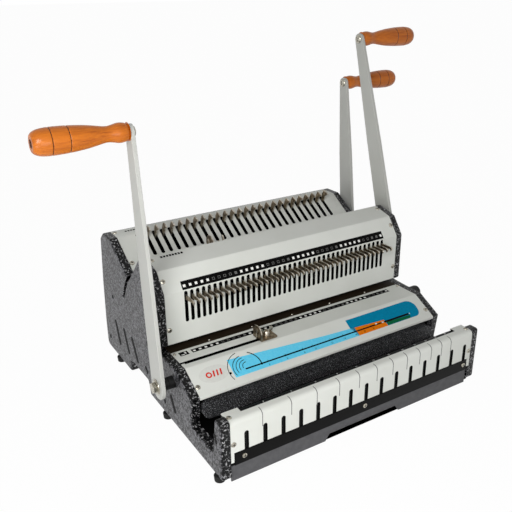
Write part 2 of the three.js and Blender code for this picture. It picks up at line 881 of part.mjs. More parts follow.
// A bracket carries both closer shafts, and its ledge carries the closing bar's arm
function closerBracket(side) {
  const foot = panelBottom + seat + baseSheet + seat;
  const outer = bracketInner + bracketSheet;
  const wall = block(span(side, bracketInner, outer), [bracketFront, bracketRear], [foot, bracketTop]);
  const ledge = block(
    span(side, armInner, bracketInner + seat), [bracketFront, bracketRear],
    [armFoot - seat - ledgeThick, armFoot - seat]);
  const through = span(side, bracketInner - overrun, outer + overrun);
  return cut(join([wall, ledge]), [
    bar(shaftRadius + runningGap, closerDepth, closerHeight, through),
    bar(crankRadius + runningGap, crankDepth, closerHeight, through),
  ]);
}

// Levers, each in a frame at its pivot with Z along the arm
function leverArm(lever, inner) {
  const width = span(lever.side, inner, inner + armSheet);
  const outline = new THREE.Shape();
  outline.moveTo(armPivotRadius, 0);
  outline.lineTo(armMiddle, lever.length / 2);
  outline.lineTo(armTopRadius, lever.length);
  outline.absarc(0, lever.length, armTopRadius, 0, Math.PI, false);
  outline.lineTo(-armMiddle, lever.length / 2);
  outline.lineTo(-armPivotRadius, 0);
  outline.absarc(0, 0, armPivotRadius, Math.PI, Math.PI * 2, false);
  const through = span(lever.side, inner - overrun, inner + armSheet + overrun);
  return cut(alongX(outline, ...width), [
    bar(boltRadius + seat, 0, 0, through, boreSides),
    bar(boltRadius + seat, 0, lever.length, through, boreSides),
  ]);
}

function pivotBolt(lever, outer) {
  const shank = turned([
    [-armSheet - boltDepth + seat, 0],
    [-armSheet - boltDepth + seat, boltRadius],
    [seat, boltRadius],
    [seat, washerRadius],
    [seat + washerThick, washerRadius],
    [seat + washerThick, 0],
  ], lever.side);
  const head = turned([
    [seat, 0],
    [seat, headRadius],
    [seat + washerThick + headHeight, headRadius],
    [seat + washerThick + headHeight, 0],
  ], lever.side, hexSides);
  return join([shank, head]).translate([lever.side * outer, 0, 0]);
}

function gripBolt(lever, inner) {
  const length = armSheet + gripLength - gripRadius;
  return turned([
    [-gripHeadHeight - seat, 0],
    [-gripHeadHeight - seat, gripHeadRadius * gripRadiusShares[3]],
    [-gripHeadHeight / 2 - seat, gripHeadRadius],
    [-seat, gripHeadRadius],
    [-seat, boltRadius],
    [length, boltRadius],
    [length, 0],
  ], lever.side).translate([lever.side * inner, 0, lever.length]);
}

function grip(lever, inner) {
  const bore = boltRadius + seat;
  const outside = gripLengthShares.map((share, i) => [share * gripLength, gripRadiusShares[i] * gripRadius]);
  return turned([[0, bore], ...outside, [gripLength, bore], [0, bore]], lever.side)
    .translate([lever.side * (inner + armSheet + seat), 0, lever.length]);
}

function addLever(parent, name, pivot) {
  const lever = levers[name];
  const inner = panelOuter + lever.arm;
  const group = new THREE.Group();
  group.position.set(0, ...pivot);
  group.rotation.x = -THREE.MathUtils.degToRad(lever.lean);
  const bush = ring(bushRadius, shaftRadius + runningGap, lever.arm - seat * 2, lever.side)
    .translate([lever.side * (panelOuter + seat), 0, 0]);
  place(group, `${name}_lever_arm`, leverArm(lever, inner), finishes.lever);
  place(group, `${name}_pivot_bush`, bush, finishes.black);
  place(group, `${name}_pivot_bolt`, pivotBolt(lever, inner + armSheet), finishes.steel);
  place(group, `${name}_grip_bolt`, gripBolt(lever, inner), finishes.steel);
  place(group, `${name}_grip`, grip(lever, inner), finishes.wood);
  parent.add(group);
}

function sizeKnob() {
  return turned([
    [-knobStemLength, 0],
    [-knobStemLength, knobStem],
    [seat, knobStem],
    [seat, knobRadius],
    [knobReach - knobRound, knobRadius],
    [knobReach, knobRadius - knobRound],
    [knobReach, 0],
  ], 1).translate([panelOuter, knobDepth, knobHeight]);
}

function rubberFoot(side, depth) {
  const height = panelBottom - seat;
  const geometry = new THREE.CylinderGeometry(footRadius, footWaist, height, roundSides);
  const middle = side * (panelOuter + footOverhang - footRadius);
  return solidOf(geometry.rotateX(Math.PI / 2).translate(middle, depth, height / 2));
}

// The machine
const machine = new THREE.Group();

place(machine, 'left_side_panel', sidePanel(-1), finishes.hammer);
place(machine, 'right_side_panel', sidePanel(1), finishes.hammer);
place(machine, 'front_cover', frontCover(), finishes.cover);
place(machine, 'rear_cover', rearCover(), finishes.cover);
place(machine, 'back_cover', backCover(), finishes.cover);
place(machine, 'rear_deck', rearDeck(), finishes.cover);
place(machine, 'deck_cover', deckCover(), finishes.cover);
place(machine, 'front_wall_cover', wallCover(), finishes.cover);
place(machine, 'front_wall_core', wallCore(), finishes.blackPaint);
place(machine, 'front_rail', frontRail(), finishes.blackPaint);
place(machine, 'channel_liner', channelLiner(), finishes.blackPaint);
place(machine, 'base_plate', basePlate(), finishes.blackPaint);
place(machine, 'chip_chute', chipChute(), finishes.steel);
place(machine, 'chip_drawer', chipDrawer(), finishes.blackPaint);

for (const unit of [frontUnit, rearUnit]) {
  const group = unitFrame(unit);
  place(group, `${unit.name}_die_plate`, diePlate(unit), finishes.die);
  place(group, `${unit.name}_punch_guide`, punchGuide(unit), finishes.steel);
  place(group, `${unit.name}_punch_bar`, punchBar(unit), finishes.steel);
  const shaftEnd = panelOuter + levers[unit.name].arm - seat;
  place(group, `${unit.name}_cam_shaft`, camShaft(unit, shaftEnd), finishes.steel);
  place(group, `${unit.name}_shaft_bearing`, shaftBearing(), finishes.steel);
  place(group, `${unit.name}_hook_row`, hookRow(unit), finishes.bronze);
  machine.add(group);
}

for (const frame of [deckFrame, rearDeckFrame]) {
  const group = unitFrame(frame);
  place(group, `${frame.name}_edge_guide`, edgeGuide(), finishes.bronze);
  place(group, `${frame.name}_wing_nut`, wingNut(), finishes.bronze);
  machine.add(group);
}

const closerOuterEnd = -panelOuter - levers.closer.arm + seat;
place(machine, 'closer_shaft', closerShaft(closerOuterEnd), finishes.steel);
place(machine, 'closer_gear', gear(
  leverTeeth, 0, closerDepth, closerHeight, gearSpan, shaftRadius + seat), finishes.steel);
place(machine, 'crankshaft', crankshaft(), finishes.steel);
place(machine, 'crankshaft_gear', gear(
  crankTeeth, Math.PI + Math.PI / crankTeeth, crankDepth, closerHeight, gearSpan,
  crankRadius + seat), finishes.steel);
place(machine, 'closing_bar', closingBar(), finishes.hammer);
place(machine, 'left_closer_bracket', closerBracket(-1), finishes.steel);
place(machine, 'right_closer_bracket', closerBracket(1), finishes.steel);

addLever(machine, 'closer', closerPivot);
addLever(machine, 'front', frontPivot);
addLever(machine, 'rear', rearPivot);

place(machine, 'size_knob', sizeKnob(), finishes.black);

footDepths.forEach((depth, i) => {
  const where = ['front', 'middle', 'rear'][i];
  place(machine, `left_${where}_foot`, rubberFoot(-1, depth), finishes.rubber);
  place(machine, `right_${where}_foot`, rubberFoot(1, depth), finishes.rubber);
});

// The origin is on the table, under the middle of the machine's box.
const extent = new THREE.Box3().setFromObject(machine, true);
const middle = extent.getCenter(new THREE.Vector3());
machine.position.set(-middle.x, -middle.y, -extent.min.z);
const binder = new THREE.Group();
binder.add(machine);

export default binder;
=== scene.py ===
import json
import math

import bmesh
import bpy
from bpy.props import FloatProperty, FloatVectorProperty, IntProperty, PointerProperty
from mathutils import Matrix, Vector

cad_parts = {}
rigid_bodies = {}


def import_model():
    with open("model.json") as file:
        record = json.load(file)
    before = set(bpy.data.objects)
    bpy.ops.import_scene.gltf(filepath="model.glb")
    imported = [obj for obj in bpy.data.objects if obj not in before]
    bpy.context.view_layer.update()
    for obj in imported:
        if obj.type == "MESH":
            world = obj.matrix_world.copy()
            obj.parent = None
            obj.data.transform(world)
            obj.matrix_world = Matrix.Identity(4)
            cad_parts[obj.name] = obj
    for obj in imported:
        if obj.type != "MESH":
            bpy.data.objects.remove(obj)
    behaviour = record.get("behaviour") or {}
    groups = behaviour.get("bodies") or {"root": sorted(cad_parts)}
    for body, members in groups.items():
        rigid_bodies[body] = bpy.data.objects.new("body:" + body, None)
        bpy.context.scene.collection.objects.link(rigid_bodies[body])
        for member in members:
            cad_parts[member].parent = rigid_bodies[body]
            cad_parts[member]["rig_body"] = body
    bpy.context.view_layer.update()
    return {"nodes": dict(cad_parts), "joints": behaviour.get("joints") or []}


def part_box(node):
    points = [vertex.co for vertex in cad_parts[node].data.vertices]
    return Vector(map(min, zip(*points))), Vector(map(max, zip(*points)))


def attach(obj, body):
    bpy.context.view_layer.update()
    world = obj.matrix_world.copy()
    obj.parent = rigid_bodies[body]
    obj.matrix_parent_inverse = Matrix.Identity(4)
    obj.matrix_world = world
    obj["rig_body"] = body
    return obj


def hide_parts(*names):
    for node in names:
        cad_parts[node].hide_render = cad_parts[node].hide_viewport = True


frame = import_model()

bl_info = {
    "name": "Wire binding machine looks",
    "version": (1, 0, 0),
    "blender": (4, 5, 0),
    "location": "3D View > Sidebar > Binder",
    "description": "Dresses the packed wire binding machine in its finishes and fittings",
    "category": "Add Mesh",
}

# Everything below is written in millimetres, from the machine's middle plane (X),
# the face of its front punch cover (Y) and the table (Z).
MM = 0.001
PANEL_LOW, PANEL_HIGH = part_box("left_side_panel")[0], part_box("right_side_panel")[1]
DATUM = Vector(((PANEL_LOW.x + PANEL_HIGH.x) / 2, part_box("front_cover")[0].y, 0))
HALF_WIDTH = (PANEL_HIGH.x - PANEL_LOW.x) / 2 / MM
JOINTS = {joint["name"]: joint for joint in frame["joints"]}
REAR_TILT = math.degrees(math.atan2(-JOINTS["rear_hooks_slide"]["axis"][1],
                                    -JOINTS["rear_hooks_slide"]["axis"][2]))

# Corners of the covers in the side view, as depth and height
FACE_FOOT = (0, 107)
FACE_BEND = (0, 178.4)
BROW = (19.3, 204.8)
RIDGE = (51.5, 213)
VALLEY = (95, 167)
CROWN_FRONT = (160, 206.5)
CROWN_REAR = (190, 206.5)
DECK_BEND = (-49, 98.3)
DECK_REAR = (-6, 98.3)
NOSE = (-88.5, 77.3)
WALL_FOOT = (-162.5, 31)
WALL_TOP = (-162.5, 87)
WALL_FLANGE = (-149.5, 87)
CORE_TOP = 85.2
# Where the sheets enter each punch unit
FRONT_THROAT = (0, 98.5)
REAR_THROAT = (96.8, 166)
# Three holes to the inch in front and two at the rear
FRONT_PITCH = 25.4 / 3
REAR_PITCH = 25.4 / 2
# The rail's face stands back by this much, so that its screw heads end at the CAD's face
RAIL_INSET = 1.95
# The drawer's front is drawn out at each end, so that no floor shows past it
DRAWER_WIDEN = 3.2
# How far prints and vents stand off their sheet, and how thick one layer of ink is
PROUD = 0.04
INK = 0.06


# Places and shapes

def spot(x, depth, height):
    """A place of the machine, in metres."""
    return DATUM + Vector((x, depth, height)) * MM


def joint_place(name):
    """Where a joint stands, in millimetres."""
    return (Vector(JOINTS[name]["pos_m"]) - DATUM) / MM


def box_place(node):
    """The two corners of a CAD piece's box, in millimetres."""
    return [(corner - DATUM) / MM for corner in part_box(node)]


def turned(degrees, axis="Z"):
    return Matrix.Rotation(math.radians(degrees), 4, axis)


def shift(x=0.0, y=0.0, z=0.0):
    return Matrix.Translation((x, y, z))


def upright(x, depth, height, lean=0):
    """A frame in millimetres that stands on a place, leaned back by an angle in degrees."""
    return shift(*spot(x, depth, height)) @ turned(-lean, "X") @ Matrix.Scale(MM, 4)


def on_sheet(low, high, x=0, along=0):
    """A frame on a cover's face between two corners: Y runs up the sheet and Z stands out of it."""
    run = (Vector(high) - Vector(low)).normalized()
    start = Vector(low) + run * along
    turn = Matrix.Rotation(math.pi / 2 - math.atan2(run.x, run.y), 4, "X")
    return shift(*spot(x, *start)) @ turn @ Matrix.Scale(MM, 4)


# Turns an outline drawn in X and Y: into the side view, or to face the front
SIDE_VIEW = Matrix(((0, 0, 1, 0), (1, 0, 0, 0), (0, 1, 0, 0), (0, 0, 0, 1)))
FRONT_VIEW = Matrix(((1, 0, 0, 0), (0, 0, -1, 0), (0, 1, 0, 0), (0, 0, 0, 1)))


def rounded(corners, steps):
    """An outline from corners (a, b, radius), each radius rounding its corner with an arc."""
    points = []
    for i, (a, b, radius) in enumerate(corners):
        corner = Vector((a, b))
        if radius == 0:
            points.append(corner)
            continue
        back = (Vector(corners[i - 1][:2]) - corner).normalized()
        ahead = (Vector(corners[(i + 1) % len(corners)][:2]) - corner).normalized()
        half = back.angle(ahead) / 2
        centre = corner + (back + ahead).normalized() * radius / math.sin(half)
        start = corner + back * radius / math.tan(half)
        turn = (math.pi - 2 * half) * (1 if back.x * ahead.y - back.y * ahead.x < 0 else -1)
        for step in range(steps + 1):
            arm = start - centre
            arm.rotate(Matrix.Rotation(turn * step / steps, 2))
            points.append(centre + arm)
    return points


def bar_outline(half, low, high, steps=8):
    """An outline with two round ends, along X."""
    radius = (high - low) / 2 * 0.999
    return rounded([(-half, low, radius), (half, low, radius), (half, high, radius),
                    (-half, high, radius)], steps)


def soften(bm, width, segments=2):
    """Bevels every edge that turns by more than 30 degrees."""
    sharp = [edge for edge in bm.edges
             if len(edge.link_faces) == 2 and edge.calc_face_angle() > math.radians(30)]
    bmesh.ops.bevel(bm, geom=sharp, offset=width, offset_type="OFFSET", segments=segments,
                    profile=0.5, affect="EDGES", material=-1, clamp_overlap=True)


def raised(bm, faces, height, round_edge, segments=2):
    """Extrudes flat faces into a plate and rounds its edges."""
    made = bmesh.ops.extrude_face_region(bm, geom=faces)["geom"]
    top = [item for item in made if isinstance(item, bmesh.types.BMVert)]
    bmesh.ops.translate(bm, verts=top, vec=(0, 0, height))
    bmesh.ops.recalc_face_normals(bm, faces=bm.faces)
    if round_edge:
        soften(bm, round_edge, segments)
    return bm


def slab(outline, low, high, round_edge=0.0, segments=2):
    """A plate: an outline in X and Y, from one height to another."""
    bm = bmesh.new()
    base = bm.faces.new([bm.verts.new((*point[:2], low)) for point in outline])
    return raised(bm, [base], high - low, round_edge, segments)


def frame_plate(outer, inner, low, high, round_edge=0.0):
    """A plate with one opening, from two outlines of as many points each."""
    bm = bmesh.new()
    edges = []
    for outline in (outer, inner):
        loop = [bm.verts.new((*point[:2], low)) for point in outline]
        edges += [bm.edges.new(pair) for pair in zip(loop, loop[1:] + loop[:1])]
    faces = bmesh.ops.bridge_loops(bm, edges=edges)["faces"]
    return raised(bm, faces, high - low, round_edge)


def lathed(points, steps=32):
    """A turned piece about Z, from (radius, height) points."""
    bm = bmesh.new()
    verts = [bm.verts.new((radius, 0, height)) for radius, height in points]
    edges = [bm.edges.new(pair) for pair in zip(verts, verts[1:])]
    bmesh.ops.spin(bm, geom=verts + edges, cent=(0, 0, 0), axis=(0, 0, 1), angle=math.tau,
                   steps=steps, use_merge=True)
    bmesh.ops.remove_doubles(bm, verts=bm.verts, dist=0.001)
    bmesh.ops.recalc_face_normals(bm, faces=bm.faces)
    return bm


def rectangle(left, right, low, high):
    return [(left, low), (right, low), (right, high), (left, high)]


def box_of(x, y, z, round_edge=0.0):
    return slab(rectangle(*x, *y), *z, round_edge)


def paint_faces(bm, choose):
    """Gives faces the finish that a number names, or that a rule picks for each face."""
    for face in bm.faces:
        face.material_index = int(choose(face)) if callable(choose) else choose
    return bm


def gathered(parts):
    """Joins (bmesh, places) pairs into one bmesh, with a copy of each at each of its places."""
    whole = bmesh.new()
    for part, places in parts:
        for place in places:
            mesh = bpy.data.meshes.new("part")
            part.to_mesh(mesh)
            mesh.transform(place)
            whole.from_mesh(mesh)
            bpy.data.meshes.remove(mesh)
        part.free()
    return whole


def joined(*parts):
    """Joins bmeshes as they stand."""
    return gathered([(part, [Matrix()]) for part in parts])


def make_piece(name, bm, body, finishes, slot=None, replaces=(), place=None, angle=35,
               weighted=True):
    """Brings a bmesh to its place in metres and makes it a piece that rides on a body."""
    if place is not None:
        bm.transform(place)
    # Smooth faces, with a hard edge wherever the surface turns by more than the angle
    for edge in bm.edges:
        edge.smooth = len(edge.link_faces) == 2 and edge.calc_face_angle() < math.radians(angle)
    for face in bm.faces:
        face.smooth = True
    mesh = bpy.data.meshes.new(name)
    bm.to_mesh(mesh)
    bm.free()
    for finish in finishes:
        mesh.materials.append(MATERIALS[finish])
    piece = bpy.data.objects.new(name, mesh)
    bpy.context.scene.collection.objects.link(piece)
    if weighted:
        piece.modifiers.new("Weighted normals", "WEIGHTED_NORMAL").keep_sharp = True
    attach(piece, body)
    if replaces:
        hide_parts(*replaces)


def refined_node(node, finishes, slot, width, choose=None, bend=None, inset=0.0, widen=0.0):
    """A copy of a CAD piece with its sharp edges broken, which stands for that piece."""
    bm = bmesh.new()
    bm.from_mesh(frame["nodes"][node].data)
    low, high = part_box(node)
    near, front = 0.1 * MM, 3 * MM
    for vert in bm.verts:
        if inset and vert.co.y < low.y + near:
            vert.co.y += inset * MM
        if widen and vert.co.y < low.y + front:
            ends = (vert.co.x > high.x - near) - (vert.co.x < low.x + near)
            vert.co.x += ends * widen * MM
    bmesh.ops.remove_doubles(bm, verts=bm.verts, dist=0.01 * MM)
    bmesh.ops.dissolve_limit(bm, angle_limit=math.radians(0.5), verts=bm.verts, edges=bm.edges)
    if bend:
        bent = [edge for edge in bm.edges if bend(edge)]
        bmesh.ops.bevel(bm, geom=bent, offset=width * MM, offset_type="OFFSET", segments=4,
                        profile=0.5, affect="EDGES", material=-1, clamp_overlap=False)
    elif width:
        soften(bm, width * MM)
    if choose:
        bm.normal_update()
        paint_faces(bm, choose)
    make_piece(f"{node}_shown", bm, frame["nodes"][node]["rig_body"], finishes, slot, [node])


def dress(nodes, finish):
    """Gives CAD pieces that stay as they are their finish."""
    for name in nodes:
        materials = frame["nodes"][name].data.materials
        materials.clear()
        materials.append(MATERIALS[finish])


# Materials

def linear(text):
    """An sRGB hex colour as a linear RGBA tuple."""
    parts = [int(text[i:i + 2], 16) / 255 for i in (0, 2, 4)]
    return (*[c / 12.92 if c <= 0.04045 else ((c + 0.055) / 1.055) ** 2.4 for c in parts], 1.0)


def add(tree, kind, inputs=None, **fields):
    """Adds a node with its fields and inputs; an input that is a socket is linked."""
    node = tree.nodes.new(kind)
    for name, value in fields.items():
        setattr(node, name, value)
    for name, value in (inputs or {}).items():
        if isinstance(value, bpy.types.NodeSocket):
            tree.links.new(value, node.inputs[name])
        else:
            node.inputs[name].default_value = value
    return node


def start_finish(name, roughness, metallic=0.0, **inputs):
    """A new material with its tree and its Object coordinates."""
    material = bpy.data.materials.new(name)
    material.use_nodes = True
    tree = material.node_tree
    shader = tree.nodes["Principled BSDF"]
    shader.inputs["Roughness"].default_value = roughness
    shader.inputs["Metallic"].default_value = metallic
    for key, value in inputs.items():
        shader.inputs[key.replace("_", " ").title().replace("Ior", "IOR")].default_value = value
    return material, tree, add(tree, "ShaderNodeTexCoord").outputs["Object"]


def end_finish(material, share, colours, height=None, depth=0.0, strength=1.0):
    """Blends two colours by a share and raises the surface by a height of so many millimetres."""
    tree = material.node_tree
    shader = tree.nodes["Principled BSDF"]
    first, second = (linear(colour) if isinstance(colour, str) else colour for colour in colours)
    mix = add(tree, "ShaderNodeMix", {0: share, 6: first, 7: second}, data_type="RGBA")
    tree.links.new(mix.outputs[2], shader.inputs["Base Color"])
    if height is not None:
        bump = add(tree, "ShaderNodeBump", {"Height": height, "Distance": depth * MM,
                                            "Strength": strength})
        tree.links.new(bump.outputs["Normal"], shader.inputs["Normal"])
    return material


def grain(tree, where, size, low=0.0, high=1.0, detail=2.0):
    """Noise with features of a size in millimetres, spread between two levels."""
    noise = add(tree, "ShaderNodeTexNoise", {"Vector": where, "Scale": 1 / (size * MM),
                                             "Detail": detail})
    # Nearly all of the noise lies between 0.3 and 0.7
    return add(tree, "ShaderNodeMapRange", {"Value": noise.outputs["Fac"], "From Min": 0.3,
                                            "From Max": 0.7, "To Min": low,
                                            "To Max": high}).outputs["Result"]


def powder_coat(name, colours, roughness=0.5):
    """Sprayed and baked powder paint on sheet steel."""
    # Satin, with a fine orange peel and hardly any change of colour
    material, tree, where = start_finish(name, roughness)
    return end_finish(material, grain(tree, where, 60), colours, grain(tree, where, 1.2), 0.03,
                      0.5)


def hammer_finish(name, colours, first, full):
    """Hammer finish enamel on sheet steel."""
    # Dark gloss dimples, real ones 2 mm and drawn at 2.8 mm, with pale rims between that are
    # painted glints of the hammered bumps
    material, tree, where = start_finish(name, 0.35, specular_ior_level=0.2)
    dimples = add(tree, "ShaderNodeTexNoise", {"Vector": where, "Scale": 1 / (2.8 * MM),
                                               "Detail": 2.0, "Distortion": 0.8}).outputs["Fac"]
    painted_glints = add(tree, "ShaderNodeMapRange", {"Value": dimples, "From Min": first,
                                            "From Max": full})
    return end_finish(material, painted_glints.outputs["Result"], colours, dimples, 0.8, 0.6)


def speckled_enamel(name, colours):
    """Charcoal textured paint with pale specks."""
    # A dull ground, each speck under a millimetre and drawn at a millimetre so that it shows
    material, tree, where = start_finish(name, 0.45, specular_ior_level=0.25)
    fine = grain(tree, where, 1.3, -1.7, 1.1)
    rare = grain(tree, where, 30, 0.6)
    both = add(tree, "ShaderNodeMath", {0: fine, 1: rare}, operation="MULTIPLY", use_clamp=True)
    return end_finish(material, both.outputs["Value"], colours, fine, 0.12, 0.5)


def gloss_enamel(name, colours, roughness=0.32):
    """Sprayed black enamel on steel."""
    # Even and half glossy, with faint dust and handling marks
    material, tree, where = start_finish(name, roughness, specular_ior_level=0.08)
    return end_finish(material, grain(tree, where, 9, detail=4.0), colours,
                      grain(tree, where, 1.5), 0.02, 0.4)


def varnished_beech(name, colours):
    """Turned beech, stained orange and varnished."""
    # Fine streaks along the turning axis under a thin clear coat
    material, tree, where = start_finish(name, 0.45, specular_ior_level=0.2, coat_weight=0.3,
                                         coat_roughness=0.15)
    along = add(tree, "ShaderNodeMapping", {"Vector": where,
                                            "Scale": (0.06, 1, 1)}).outputs["Vector"]
    streaks = grain(tree, along, 1.6, detail=4.0)
    both = add(tree, "ShaderNodeMath", {0: streaks, 1: grain(tree, along, 9, detail=1.0)},
               operation="MULTIPLY", use_clamp=True)
    return end_finish(material, both.outputs["Value"], colours, streaks, 0.02, 0.3)


def yellow_zinc(name, colours, roughness=0.3):
    """Zinc plate with a yellow chromate film, on stamped steel."""
    # Metallic, drifting from straw to olive brown along each piece
    material, tree, where = start_finish(name, roughness, 1.0)
    return end_finish(material, grain(tree, where, 5), colours, grain(tree, where, 0.8), 0.02, 0.5)


def bright_steel(name, colours):
    """Plated or ground steel."""
    # Metallic, mottled where it was tumbled and plated
    material, tree, where = start_finish(name, 0.22, 1.0)
    mottle = grain(tree, where, 1.2, detail=3.0)
    return end_finish(material, mottle, colours, mottle, 0.01, 0.4)


def oiled_tool_steel(name, colours, roughness=0.4, specular=0.2):
    """Hardened steel, oil blacked."""
    # Brown black and dull, rubbed brighter where paper slides on it
    material, tree, where = start_finish(name, roughness, specular_ior_level=specular)
    along = add(tree, "ShaderNodeMapping", {"Vector": where,
                                            "Scale": (0.1, 1, 1)}).outputs["Vector"]
    rubbed = grain(tree, along, 2.5, 0.0, 0.6, 3.0)
    return end_finish(material, rubbed, colours, rubbed, 0.02, 0.3)


def moulded_black(name, colours, roughness, grit):
    """Moulded black plastic or rubber."""
    # A fine spark texture from the mould
    material, tree, where = start_finish(name, roughness, specular_ior_level=0.3)
    return end_finish(material, grain(tree, where, 6), colours, grain(tree, where, grit), 0.05,
                      0.5)


def printed_film(name, colours, roughness=0.4):
    """Screen printing on vinyl film."""
    # Flat ink with a slight sheen and a faint mottle
    material, tree, where = start_finish(name, roughness, specular_ior_level=0.05)
    return end_finish(material, grain(tree, where, 3), colours)


MATERIALS = {}


def make_materials():
    chosen = settings("finish")
    MATERIALS.update(
        cover=powder_coat("pale_powder_coat", (tuple(chosen.cover), "d8dad3")),
        lever=powder_coat("lever_powder_coat", (tuple(chosen.lever), "b9bab4"), 0.42),
        # One hammer paint in two copies that differ by painted light: the grey copy for the lit
        # outer faces, and the black copy with brighter flecks for the flanges as painted shade
        hammer=hammer_finish("hammer_finish_grey", ("040405", "6e6e72"), 0.44, 0.58),
        fold=hammer_finish("hammer_finish_black", ("020203", "b0b0b2"), 0.56, 0.68),
        bar=speckled_enamel("charcoal_texture_paint", ("202022", "b0b2b4")),
        black=gloss_enamel("black_enamel", ("040404", "080808")),
        drawer=gloss_enamel("drawer_enamel", ("545456", "5e5e60"), 0.3),
        wood=varnished_beech("varnished_beech", (tuple(chosen.grip), "a04c08")),
        # Darker wood for the grips' grooves, and painted shade in their bores
        scorched=varnished_beech("scorched_groove", ("50260a", "3a1a06")),
        # The same zinc twice: the pale copy is the plain plating and, on the edges of hooks and
        # guides, a painted highlight; the darker copy on their flat sides is painted shade
        zinc=yellow_zinc("yellow_zinc", ("dcd6c8", "7e7262")),
        stamped=yellow_zinc("yellow_zinc_olive", ("a89880", "483828"), 0.35),
        steel=bright_steel("plated_steel", ("d6d2c4", "726c60")),
        # Pure black for everything inside and for slot walls: painted shade, not the steel's own
        # colour
        inner=oiled_tool_steel("oiled_inner_steel", ("020202", "050505"), 0.8, 0.05),
        die=oiled_tool_steel("oiled_die_steel", ("231c14", "3a3024")),
        plastic=moulded_black("black_nylon", ("020202", "050505"), 0.5, 0.6),
        rubber=moulded_black("black_rubber", ("0c0c0c", "161616"), 0.75, 0.9),
        # Near black for screw and bolt recesses, vents and holes: painted shade, not a plastic
        recess=moulded_black("screw_recess_shadow", ("030303", "080808"), 0.8, 0.5),
        black_ink=printed_film("black_ink", ("020202", "050505"), 0.6),
        white_ink=printed_film("white_ink", ("f4f4f0", "eaeae6")),
        grey_ink=printed_film("grey_ink", ("7c7c7a", "666664")),
        sky_ink=printed_film("sky_blue_ink", ("5ecdf0", "6ed6f4")),
        blue_ink=printed_film("deep_blue_ink", ("007ea4", "008ab2")),
        orange_ink=printed_film("orange_ink", ("ee8010", "e0740a")),
        green_ink=printed_film("green_ink", ("04603a", "06683e")),
        red_ink=printed_film("red_ink", ("d8301c", "cc2a18")),
        haze_ink=printed_film("haze_ink", ("d9dad4", "d3d4ce")),
    )


# Settings that a user would change

def length(name, description, size):
    """A setting for a size, given in millimetres."""
    return FloatProperty(name=name, description=description, default=size * MM, unit="LENGTH")


def colour(name, description, text):
    return FloatVectorProperty(name=name, description=description, subtype="COLOR", size=4,
                               default=linear(text))


def power(name, description, watts):
    return FloatProperty(name=name, description=description, default=watts, unit="POWER")


class FinishSettings(bpy.types.PropertyGroup):
    """Colours of the paint and the wood."""
    cover: colour("Covers", "Paint of the covers", "dee0da")
    lever: colour("Levers", "Paint of the levers' arms", "bfc0bb")
    grip: colour("Grips", "Stain of the wooden grips", "cc7018")


class CoverSettings(bpy.types.PropertyGroup):
    """Sizes of the covers and their screws."""
    edge_round: length("Panel fold", "Outer radius of the panels' folds", 3.3)
    screw_radius: length("Screw head", "Radius of a cover screw's head", 3.5)
    screw_place: length("Screw place", "Cover screws, from the middle", 191)


class HookSettings(bpy.types.PropertyGroup):
    """Sizes of the wire hooks."""
    thickness: length("Thickness", "Thickness of one hook", 2)
    front_count: IntProperty(name="Front hooks", description="Hooks in the front row", default=40)
    rear_count: IntProperty(name="Rear hooks", description="Hooks in the rear row", default=27)


class LeverSettings(bpy.types.PropertyGroup):
    """Sizes of the levers and their grips."""
    grip_radius: length("Grip radius", "Largest radius of a wooden grip", 14.9)
    groove: length("Groove", "Depth of the turned grooves", 0.7)
    arm_round: length("Arm edge", "Rounding of an arm's edges", 0.5)


class PrintSettings(bpy.types.PropertyGroup):
    """Sizes of the printed marks."""
    square: length("Square", "Side of a hole marker", 3.6)
    strip_half: length("Strip half length", "Half of the marker strip", 168.9)
    line: length("Line", "Width of the gauge's ruled line", 2)


class StageSettings(bpy.types.PropertyGroup):
    """The floor, the lamps and the camera."""
    floor_colour: colour("Floor", "Colour of the floor", "f4f4f4")
    key_power: power("Key lamp", "Power of the key lamp", 7.9)
    fill_power: power("Fill lamp", "Power of the fill lamp", 1.0)
    side_power: power("Side lamp", "Power of the low lamp on the left", 1.2)
    sky_strength: FloatProperty(name="Surroundings", description="Strength of the plain sky",
                                default=0.27)
    lens: FloatProperty(name="Lens", description="Focal length of the camera in millimetres",
                        default=46.0)


def settings(name):
    return getattr(bpy.context.scene, f"binder_{name}")


# Covers and panels

def panel_bend(edge):
    """Whether an edge is the fold between a panel's outer face and its flange."""
    middle = ((edge.verts[0].co + edge.verts[1].co) / 2 - DATUM) / MM
    if abs(middle.x) < HALF_WIDTH - 0.1 or len(edge.link_faces) != 2:
        return False
    if edge.calc_face_angle() < math.radians(30):
        return False
    cut_length, cut_low, cut_high, pivot_hole = 45, -0.6, 6.6, 12
    for throat, tilt in ((FRONT_THROAT, 0), (REAR_THROAT, REAR_TILT)):
        local = turned(tilt, "X") @ (middle - Vector((0, *throat)))
        if -0.5 < local.y < cut_length and cut_low < local.z < cut_high:
            return False
    pivots = ("closer_lever_swing", "front_lever_swing", "rear_lever_swing", "knob_turn")
    return all((middle - joint_place(name)).yz.length >= pivot_hole for name in pivots)


def shaded_slot_walls(face):
    """The punched edges of a cover's slots, and its inside, take painted shade."""
    middle = (face.calc_center_median() - DATUM) / MM
    small = face.calc_area() < 5 * MM * MM
    inside = face.normal.z < -0.1 or face.normal.y > 0.1
    return (abs(face.normal.x) > 0.3 or small or inside) and abs(middle.x) < 188


# Faces turned down take painted shade
def shaded_underside(face):
    return face.normal.z < -0.1


